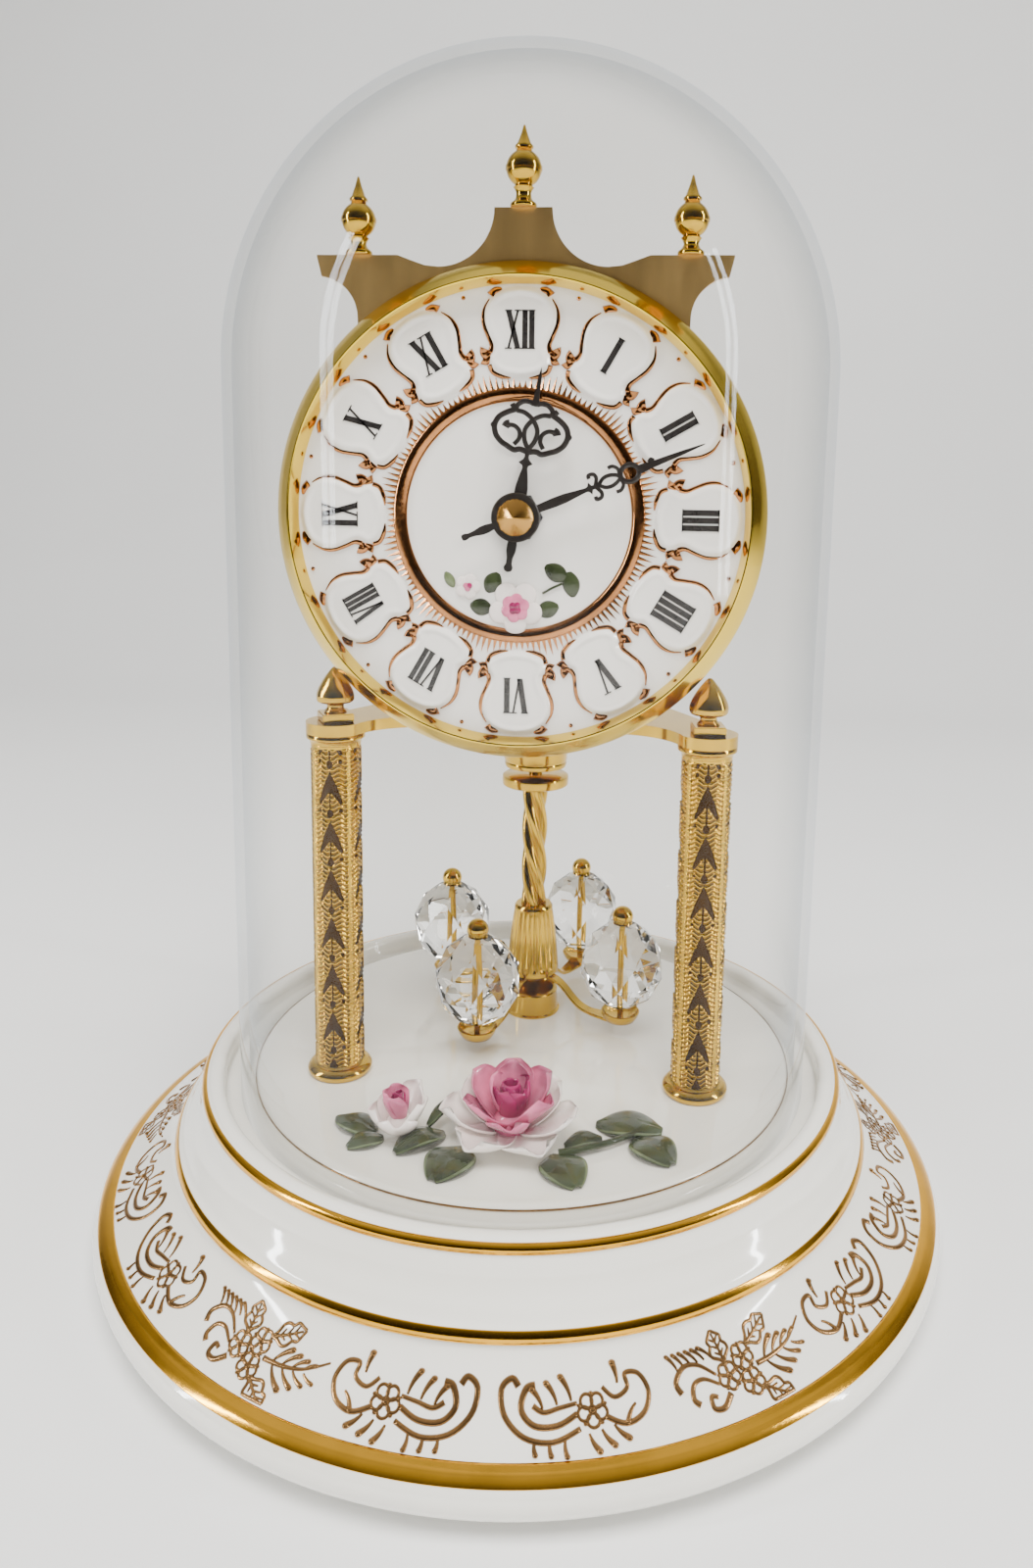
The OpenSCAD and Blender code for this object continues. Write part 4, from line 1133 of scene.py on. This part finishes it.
def build_stem():
    stem_low, stem_high = low("pendulum_stem").z, high("pendulum_stem").z
    stem = Shape()
    pitch, lobes = 50.0, 4
    rows = []
    for z in np.linspace(stem_low, stem_high, int(140 * SMOOTHNESS)):
        twist = 2 * pi * (z - stem_low) / pitch
        row = []
        for k in range(64):
            a = 2 * pi * k / 64
            r = 2.2 + 1.65 * abs(cos(lobes / 2 * (a + twist))) ** 0.9
            row.append((*polar(AXIS, r, a), z))
        rows.append(row)
    stem.grid(rows, caps=True)
    stem.piece("twisted_stem", BRASS, "pendulum", "polished_brass", ["pendulum_stem"])


def build_cone():
    cone_low, cone_high = low("pendulum_cone").z, high("pendulum_cone").z
    profile = [
        (1.5, cone_low + 6), (1.5, cone_low), (7.2, cone_low), (7.8, cone_low + 0.5), (7.9, cone_low + 1.4),
    ]
    profile += spline([(7.85, cone_low + 2.2), (7.6, 61), (7.0, 67.5), (6.2, 73.5), (5.85, 75.6)], 4)
    profile += [(5.9, 76.0), (5.8, 76.8), (5.3, cone_high), (0.01, cone_high)]

    def fluted(r, a, h):
        return r * (1 - 0.045 * (1 - abs(sin(9 * a))) * (58 < h < 76))

    cone = Shape().lathe(profile, upright(AXIS), 216, radius=fluted)
    cone.piece("fluted_cone", BRASS, "pendulum", "polished_brass", ["pendulum_cone"], crease=35)


def build_arms():
    arms, caps = Shape(), Shape()
    bend = spline(
        [
            (0, 54.8), (5.0, 54.9), (8.6, 54.3), (11.6, 52.4), (14.4, 49.8), (17.2, 47.9), (20.6, 47.0),
            (25, 46.9), (30.2, 47.0), (33.4, 47.8), (35.0, 49.2)
        ],
        6,
    )
    section = (
        (-1, -0.25), (-0.9, -0.5), (0.9, -0.5), (1, -0.25), (1, 0.25), (0.9, 0.5), (-0.9, 0.5), (-1, 0.25),
    )
    for a in ARM_ANGLES:
        out, side = directions(a)
        rows = []
        for r, z in bend:
            half = np.interp(r, (20, 27, 30, 35), (1.6, 2.6, 2.6, 1.0))
            centre = Vector((0, PENDULUM_Y, z)) + out * r
            rows.append([centre + side * (half * s) + Vector((0, 0, h)) for s, h in section])
        arms.grid(rows, caps=True)
        at = upright((*polar(AXIS, ARM_R, a), 0))
        arms.lathe(
            [
                (0.01, 46.3), (2.6, 46.5), (4.4, 47.3), (5.4, 48.8), (5.75, 50.0), (5.4, 50.2), (4.6, 49.0),
                (2.6, 48.3), (0.01, 48.4)
            ],
            at, 48,
        )
        ball = [polar((0, 79.4), 3.1, b) for b in np.linspace(-0.7, 1.5, 12)]
        caps.lathe([(0.01, 77.1), (2.5, 77.2), (2.9, 77.45), *ball[1:], (0.01, 82.5)], at, 48)
        caps.lathe([(0.01, 48.4), (0.9, 48.4), (0.9, 77.4), (0.01, 77.4)], at, 16)
    arms.piece("swept_arms", BRASS, "pendulum", "polished_brass", ["pendulum_arms"], crease=40)
    caps.piece("ball_caps", BRASS, "pendulum", "polished_brass", ["crystal_caps"], crease=40)


def build_crystals():
    crystals = Shape()
    rings = [
        (12.4, 4.4, 0), (9.0, 9.1, 0.5), (3.6, 12.1, 0), (-3.6, 12.1, 0.5), (-9.0, 9.1, 0),
        (-12.4, 4.4, 0.5),
    ]
    sides = 8
    for a in ARM_ANGLES:
        centre = Vector((*polar(AXIS, ARM_R, a), CRYSTAL_Z))
        mesh = bmesh.new()
        for z, r, shift in rings:
            for j in range(sides):
                b = a + 2 * pi * (j + shift) / sides
                mesh.verts.new(centre + Vector((r * cos(b), r * sin(b), z)))
        bmesh.ops.convex_hull(mesh, input=mesh.verts)
        bmesh.ops.dissolve_limit(mesh, angle_limit=radians(1), verts=mesh.verts, edges=mesh.edges)
        mesh.verts.index_update()
        crystals.add(
            [v.co for v in mesh.verts], [[v.index for v in f.verts] for f in mesh.faces], smooth=False
        )
        mesh.free()
    crystals.piece("cut_crystals", CRYSTAL, "pendulum", "crystal_glass", ["crystals"])


def build_guide_cup():
    profile = [
        (0.01, 0), (8.4, 0), (8.5, 0.5), (7.9, 0.9), (7.6, 6.2), (7.75, 6.6), (7.5, 7), (6.5, 7),
        (6.3, 6.5),
    ]
    profile += [(6.2, 1.8), (0.01, 1.8)]
    cup = Shape().lathe(profile, upright((0, PENDULUM_Y, PLATFORM)), 96)
    cup.piece("turned_guide_cup", BRASS, "stand", "polished_brass", ["guide_cup"], crease=40)


# ---- porcelain flowers on the platform ----


def petal(shape, centre, azimuth, start, length, width, lean, curl, cup, mat, thickness=0.9, wave=0.0):
    """Cupped petal that starts at a radius and height, and leans from the angle lean to the angle curl."""
    across, along, pinch = 14, 12, 0.55
    out, side = directions(radians(azimuth))
    r, z = start
    spine = []
    for i in range(along + 1):
        t = i / along
        angle = radians(lerp(lean, curl, t**1.3))
        spine.append((r, z, angle, t))
        r += length / along * cos(angle)
        z += length / along * sin(angle)
    faces_out, faces_in = [], []
    for r, z, angle, t in spine:
        swell = pinch + (1 - pinch) * sin(pi * min(1, t * 0.62 + 0.08))
        half = width / 2 * swell * (1 - 0.55 * (max(0, t - 0.72) / 0.28) ** 2)
        up = -sin(angle) * out + cos(angle) * Vector((0, 0, 1))
        row_out, row_in = [], []
        for j in range(across + 1):
            s = 2 * j / across - 1
            lift = cup * s * s * (1 - 0.35 * t) - wave * sin(3.5 * s + azimuth) * t
            back = 0.10 * length * s * s * t
            sideways = half * sin(s * 1.25) / sin(1.25)
            point = Vector(centre) + Vector((0, 0, z)) + out * (r - back * cos(angle))
            point += side * sideways + up * lift
            body = thickness * (1 - 0.45 * s * s) * (1 - 0.5 * t)
            row_out.append(point - up * body / 2)
            row_in.append(point + up * body / 2)
        faces_out.append(row_out)
        faces_in.append(row_in)
    loops = [o + list(reversed(i)) for o, i in zip(faces_out, faces_in)]
    shape.grid(loops, True, False, mat, caps=True)


def build_roses():
    centre = (2.2, -48, PLATFORM)
    rose = Shape()
    for azimuth, length, lean in (
        (-118, 14.6, 10), (-62, 14.4, 8), (-8, 14.4, 20), (40, 13.5, 36), (90, 13, 44), (142, 13.5, 36),
        (190, 14.6, 20)
    ):
        petal(rose, centre, azimuth, (4.4, 2.0), length, 14.5, lean, lean + 18, 1.9, 0, wave=0.7)
    for azimuth, length, lean in (
        (-88, 11.5, 26), (-30, 13.0, 42), (34, 13.6, 52), (92, 13.6, 60), (150, 13.6, 50), (212, 12.6, 38)
    ):
        petal(rose, centre, azimuth, (3.4, 3.6), length, 10.6, lean, lean + 12, 2.0, 1, wave=0.5)
    for azimuth, length, mat in ((90, 11.6, 1), (18, 9.6, 2), (162, 9.8, 1), (-50, 7.8, 2), (232, 8.2, 2)):
        petal(rose, centre, azimuth, (2.4, 6.0), length, 8.4, 66, 86, 2.2, mat, wave=0.35)
    for azimuth in (-120, -40, 35, 110, 185):
        petal(rose, centre, azimuth, (1.2, 7.6), 6.8, 5.0, 74, 96, 1.2, 2, thickness=0.7)
    rose.ball((centre[0], centre[1], PLATFORM + 3.6), 4.6, 1, squash=(1, 1, 0.9), rings=10, sides=16)
    rose.ball((centre[0], centre[1], PLATFORM + 9.2), 1.6, 2, squash=(1, 1, 1.3))
    rose.piece(
        "porcelain_rose", [PETAL_PALE, PETAL_PINK, PETAL_DEEP], "stand", "rose_porcelain", ["large_rose"],
    )

    bud_centre = (-25.5, -51, PLATFORM)
    bud = Shape()
    for azimuth, lean, length in (
        (-80, 30, 9.0), (-15, 46, 11.0), (45, 56, 12.0), (110, 50, 9.5), (190, 36, 8.5)
    ):
        petal(
            bud, bud_centre, azimuth, (1.8, 1.4), length, 10.0, lean, lean + 30, 1.9, 0, thickness=0.8,
            wave=0.4,
        )
    for azimuth in (120, 190, 255):
        petal(bud, bud_centre, azimuth, (1.4, 4.8), 7.6, 6.6, 62, 84, 1.6, 1, thickness=0.7)
    for azimuth in (0, 130, 240):
        petal(bud, bud_centre, azimuth, (0.6, 6.6), 5.2, 4.0, 80, 96, 0.9, 2, thickness=0.6)
    bud.ball((bud_centre[0], bud_centre[1], PLATFORM + 3.4), 3.2, 0, rings=8, sides=12)
    bud.piece(
        "porcelain_bud", [PETAL_PALE, PETAL_PINK, PETAL_DEEP], "stand", "rose_porcelain", ["rose_bud"],
    )


def leaf(shape, x, y, turn, length, width, arch, tip, base=0.9):
    """Curved leaf with a midrib and veins, from its stalk end outwards."""
    out, side = directions(radians(turn))
    along, across = 22, 16
    rows_top, rows_low = [], []
    for i in range(along + 1):
        t = i / along
        half = width / 2 * sin(pi * (0.03 + 0.94 * t)) ** 0.62 * (1.08 - 0.22 * t)
        top, lower = [], []
        for j in range(across + 1):
            s = 2 * j / across - 1
            midrib = 0.20 * exp(-((s / 0.10) ** 2))
            veins = 0.09 * sin(14 * (t - abs(s) * 0.45)) * (1 - abs(s)) * (abs(s) > 0.12)
            z = base + arch * sin(pi * t) + tip * t * t - 0.9 * s * s - midrib - veins
            point = Vector((x, y, PLATFORM + max(0.25, z))) + out * (length * (t - 0.5)) + side * (half * s)
            top.append(point)
            lower.append(point - Vector((0, 0, min(0.8, 0.2 + z * 0.3) if z > 0.3 else 0.2)))
        rows_top.append(top)
        rows_low.append(lower)
    loops = [o + list(reversed(i)) for o, i in zip(rows_top, rows_low)]
    first = len(shape.faces)
    shape.grid(loops, True, False, 0, caps=True)
    # A pale edge on both sides
    per_row = 2 * (across + 1)
    for i in range(along):
        for j in (0, across - 1):
            shape.slots[first + i * per_row + j] = 1


def build_leaves():
    shape = Shape()
    for spec in (
        (-37.0, -49.0, 160, 12, 8.5, 1.6, 0.8), (-33.0, -55.5, 215, 9.5, 7.0, 1.4, 0.4),
        (-19.6, -54.4, 225, 14.5, 8.6, 2.4, 0.8), (-10.8, -62, 248, 15, 12.5, 1.6, 0.4),
        (16.8, -62.0, 300, 14, 12.0, 1.6, 0.5), (31.8, -42.2, 352, 17, 11.5, 1.8, 0.8),
        (38.0, -51.6, 310, 14.0, 11.5, 1.8, 0.6),
    ):
        leaf(shape, *spec)
    leaf(shape, -15.6, -45.4, 44, 9, 3.6, 2.6, 3.4, base=2.6)
    leaf(shape, 20.6, -50.4, 12, 9.5, 6.4, 2.0, 1.2)
    shape.tube(
        [
            (15, -56.4, PLATFORM + 1.4), (20, -55.0, PLATFORM + 1.8), (27, -51.4, PLATFORM + 1.9),
            (33.5, -46.4, PLATFORM + 1.8)
        ],
        [1.0, 0.95, 0.9, 0.7], sides=10,
    )
    shape.piece("porcelain_leaves", [LEAF, LEAF_PALE], "stand", "leaf_porcelain", ["rose_leaves"])


# ---- dome ----


def build_dome():
    straight = DOME_TOP - DOME_R - 0.9
    steps = 40

    def shell(radius, top, reverse=False):
        points = [(radius, lerp(DOME_LOW + 0.4, straight, k / 12)) for k in range(12)]
        for k in range(steps + 1):
            a = pi / 2 * k / steps
            points.append((max(radius * cos(a), 0.001), straight + (top - straight) * sin(a)))
        return list(reversed(points)) if reverse else points

    profile = [(DOME_R - GLASS + 0.5, DOME_LOW), (DOME_R - 0.5, DOME_LOW)]
    profile += shell(DOME_R, DOME_TOP) + shell(DOME_R - GLASS, DOME_TOP - GLASS, True)
    shape = Shape().lathe(profile, segments=192, closed=True)
    shape.piece("blown_dome", DOME_GLASS, "dome", "dome_glass", ["dome"], crease=60)


# ---- carried-over nodes ----

FINISH = {
    "polished_brass": BRASS, "embossed_brass": EMBOSSED, "porcelain": PORCELAIN,
    "dial_porcelain": DIAL_WHITE,
    "rose_porcelain": PETAL_PALE, "leaf_porcelain": LEAF, "felt": FELT, "bright_steel": STEEL,
    "hand_black": BLACK,
    "dark_plastic": PLASTIC, "board": BOARD, "copper_wire": COPPER, "battery_sleeve": SLEEVE,
    "magnet": MAGNET,
    "dome_glass": DOME_GLASS, "crystal_glass": CRYSTAL,
}


def finish_nodes():
    for part in frame["record"]["subparts"]:
        obj = frame["nodes"][part["node"]]
        obj.data.materials.clear()
        obj.data.materials.append(FINISH[part["material_slot"]])
        obj.data.polygons.foreach_set("use_smooth", [True] * len(obj.data.polygons))
        obj.data.set_sharp_from_angle(angle=radians(28))


# ---- camera, light and floor ----


def build_stage():
    mesh = bmesh.new()
    width, depth, bend, height = 3.0, 1.2, 0.5, 2.6
    profile = [(-2.2, 0.0), (depth - bend, 0.0)]
    profile += arc((depth - bend, bend), bend, -90, 0, 15)[1:]
    profile += [(depth, height)]
    rows = [[mesh.verts.new((x, y, z)) for x in (-width, width)] for y, z in profile]
    for a, b in zip(rows, rows[1:]):
        mesh.faces.new((a[0], a[1], b[1], b[0]))
    data = bpy.data.meshes.new("studio_floor")
    mesh.to_mesh(data)
    mesh.free()
    floor = bpy.data.objects.new("studio_floor", data)
    bpy.context.scene.collection.objects.link(floor)
    data.polygons.foreach_set("use_smooth", [True] * len(data.polygons))
    data.materials.append(surface("pale_floor", (0.86, 0.86, 0.85), 0.6, vary=0.015, grain=4, bump=0.01))

    def lamp(name, location, target, size, power, colour=(1, 1, 1), mirrored=True):
        light = bpy.data.lights.new(name, "AREA")
        light.shape = "RECTANGLE"
        light.size, light.size_y = size
        light.energy = power
        light.color = colour
        obj = bpy.data.objects.new(name, light)
        bpy.context.scene.collection.objects.link(obj)
        obj.location = location
        obj.rotation_euler = (Vector(target) - Vector(location)).to_track_quat("-Z", "Y").to_euler()
        obj.visible_glossy = mirrored

    lamp("window_left", (-1.1, -0.45, 0.55), (0, 0, 0.16), (0.06, 0.9), 9, (0.95, 0.98, 1.0))
    lamp("window_right", (1.15, -0.25, 0.5), (0, 0, 0.16), (0.04, 0.9), 7, (0.95, 0.98, 1.0))
    lamp("overhead", (0.1, -0.5, 1.35), (0, 0, 0.1), (0.9, 0.6), 30, (1.0, 0.98, 0.95), mirrored=False)
    lamp("front_fill", (0.5, -1.6, 0.7), (0, 0, 0.18), (0.8, 0.8), 19, (1.0, 0.97, 0.93), mirrored=False)

    world = bpy.data.worlds.new("studio")
    bpy.context.scene.world = world
    world.use_nodes = True
    tree = world.node_tree
    add, link = builder(tree), tree.links.new
    split = add("SeparateXYZ")
    link(add("TexCoord").outputs["Generated"], split.inputs["Vector"])
    # Brighter upwards, and dim in front of the clock, so that glass and brass mirror both light and dark
    stops = (
        (0.0, (0.08, 0.07, 0.06)), (0.25, (0.13, 0.12, 0.11)), (0.55, (0.32, 0.31, 0.30)),
        (0.85, (0.9, 0.9, 0.9)),
    )
    ramp = colour_ramp(add, *stops)
    link(split.outputs["Z"], ramp.inputs["Fac"])
    front = add("MapRange", From_Min=-0.9, From_Max=0.1, To_Min=0.12, To_Max=1.0)
    link(split.outputs["Y"], front.inputs["Value"])
    dimmed = add("VectorMath")
    dimmed.operation = "SCALE"
    link(ramp.outputs["Color"], dimmed.inputs[0])
    link(front.outputs["Result"], dimmed.inputs["Scale"])
    # What the camera sees past the floor, also through cut glass, is a plain pale studio
    path = add("LightPath")
    direct = add("Math")
    direct.operation = "MAXIMUM"
    link(path.outputs["Is Camera Ray"], direct.inputs[0])
    link(path.outputs["Is Transmission Ray"], direct.inputs[1])
    seen = add("Mix")
    seen.data_type = "RGBA"
    link(direct.outputs["Value"], seen.inputs["Factor"])
    link(dimmed.outputs["Vector"], seen.inputs["A"])
    seen.inputs["B"].default_value = (0.86, 0.86, 0.86, 1)
    link(seen.outputs["Result"], tree.nodes["Background"].inputs["Color"])
    tree.nodes["Background"].inputs["Strength"].default_value = 0.9


# Camera: place in millimetres, angles in degrees, focal length and shift as shares of the picture's height
CAMERA_PLACE = (33.3, -299.7, 202.9)
CAMERA_HEADING = 4.588
CAMERA_PITCH = -8.647
CAMERA_ROLL = -1.03
FOCAL_SHARE = 0.697625
CENTRE_SHIFT = (-0.02925, -0.0803125)
SENSOR_HEIGHT = 24


def build_camera():
    data = bpy.data.cameras.new("camera")
    camera = bpy.data.objects.new("camera", data)
    bpy.context.scene.collection.objects.link(camera)
    bpy.context.scene.camera = camera
    data.sensor_fit = "VERTICAL"
    data.sensor_height = SENSOR_HEIGHT
    data.lens = SENSOR_HEIGHT * FOCAL_SHARE
    data.shift_x, data.shift_y = CENTRE_SHIFT
    data.clip_start, data.clip_end = 0.01, 20
    heading, pitch, roll = (radians(a) for a in (CAMERA_HEADING, CAMERA_PITCH, CAMERA_ROLL))
    forward = Vector((-sin(heading) * cos(pitch), cos(heading) * cos(pitch), sin(pitch)))
    right = forward.cross(Vector((0, 0, 1))).normalized()
    up = right.cross(forward)
    right, up = right * cos(roll) - up * sin(roll), right * sin(roll) + up * cos(roll)
    turn = Matrix((right, up, -forward)).transposed().to_4x4()
    camera.matrix_world = Matrix.Translation(Vector(CAMERA_PLACE) * MM) @ turn


finish_nodes()
build_base()
build_scrollwork()
build_column("left_column", -COLUMN_X)
build_column("right_column", COLUMN_X)
build_column_fittings()
build_bezel()
build_crown()
build_spires()
build_dial()
build_dial_gilding()
build_numerals()
build_dial_flowers()
build_hour_hand()
build_minute_hand()
build_hand_nut()
build_hanger()
build_neck()
build_stem()
build_cone()
build_arms()
build_crystals()
build_guide_cup()
build_roses()
build_leaves()
build_dome()
build_stage()
build_camera()

bpy.context.view_layer.update()
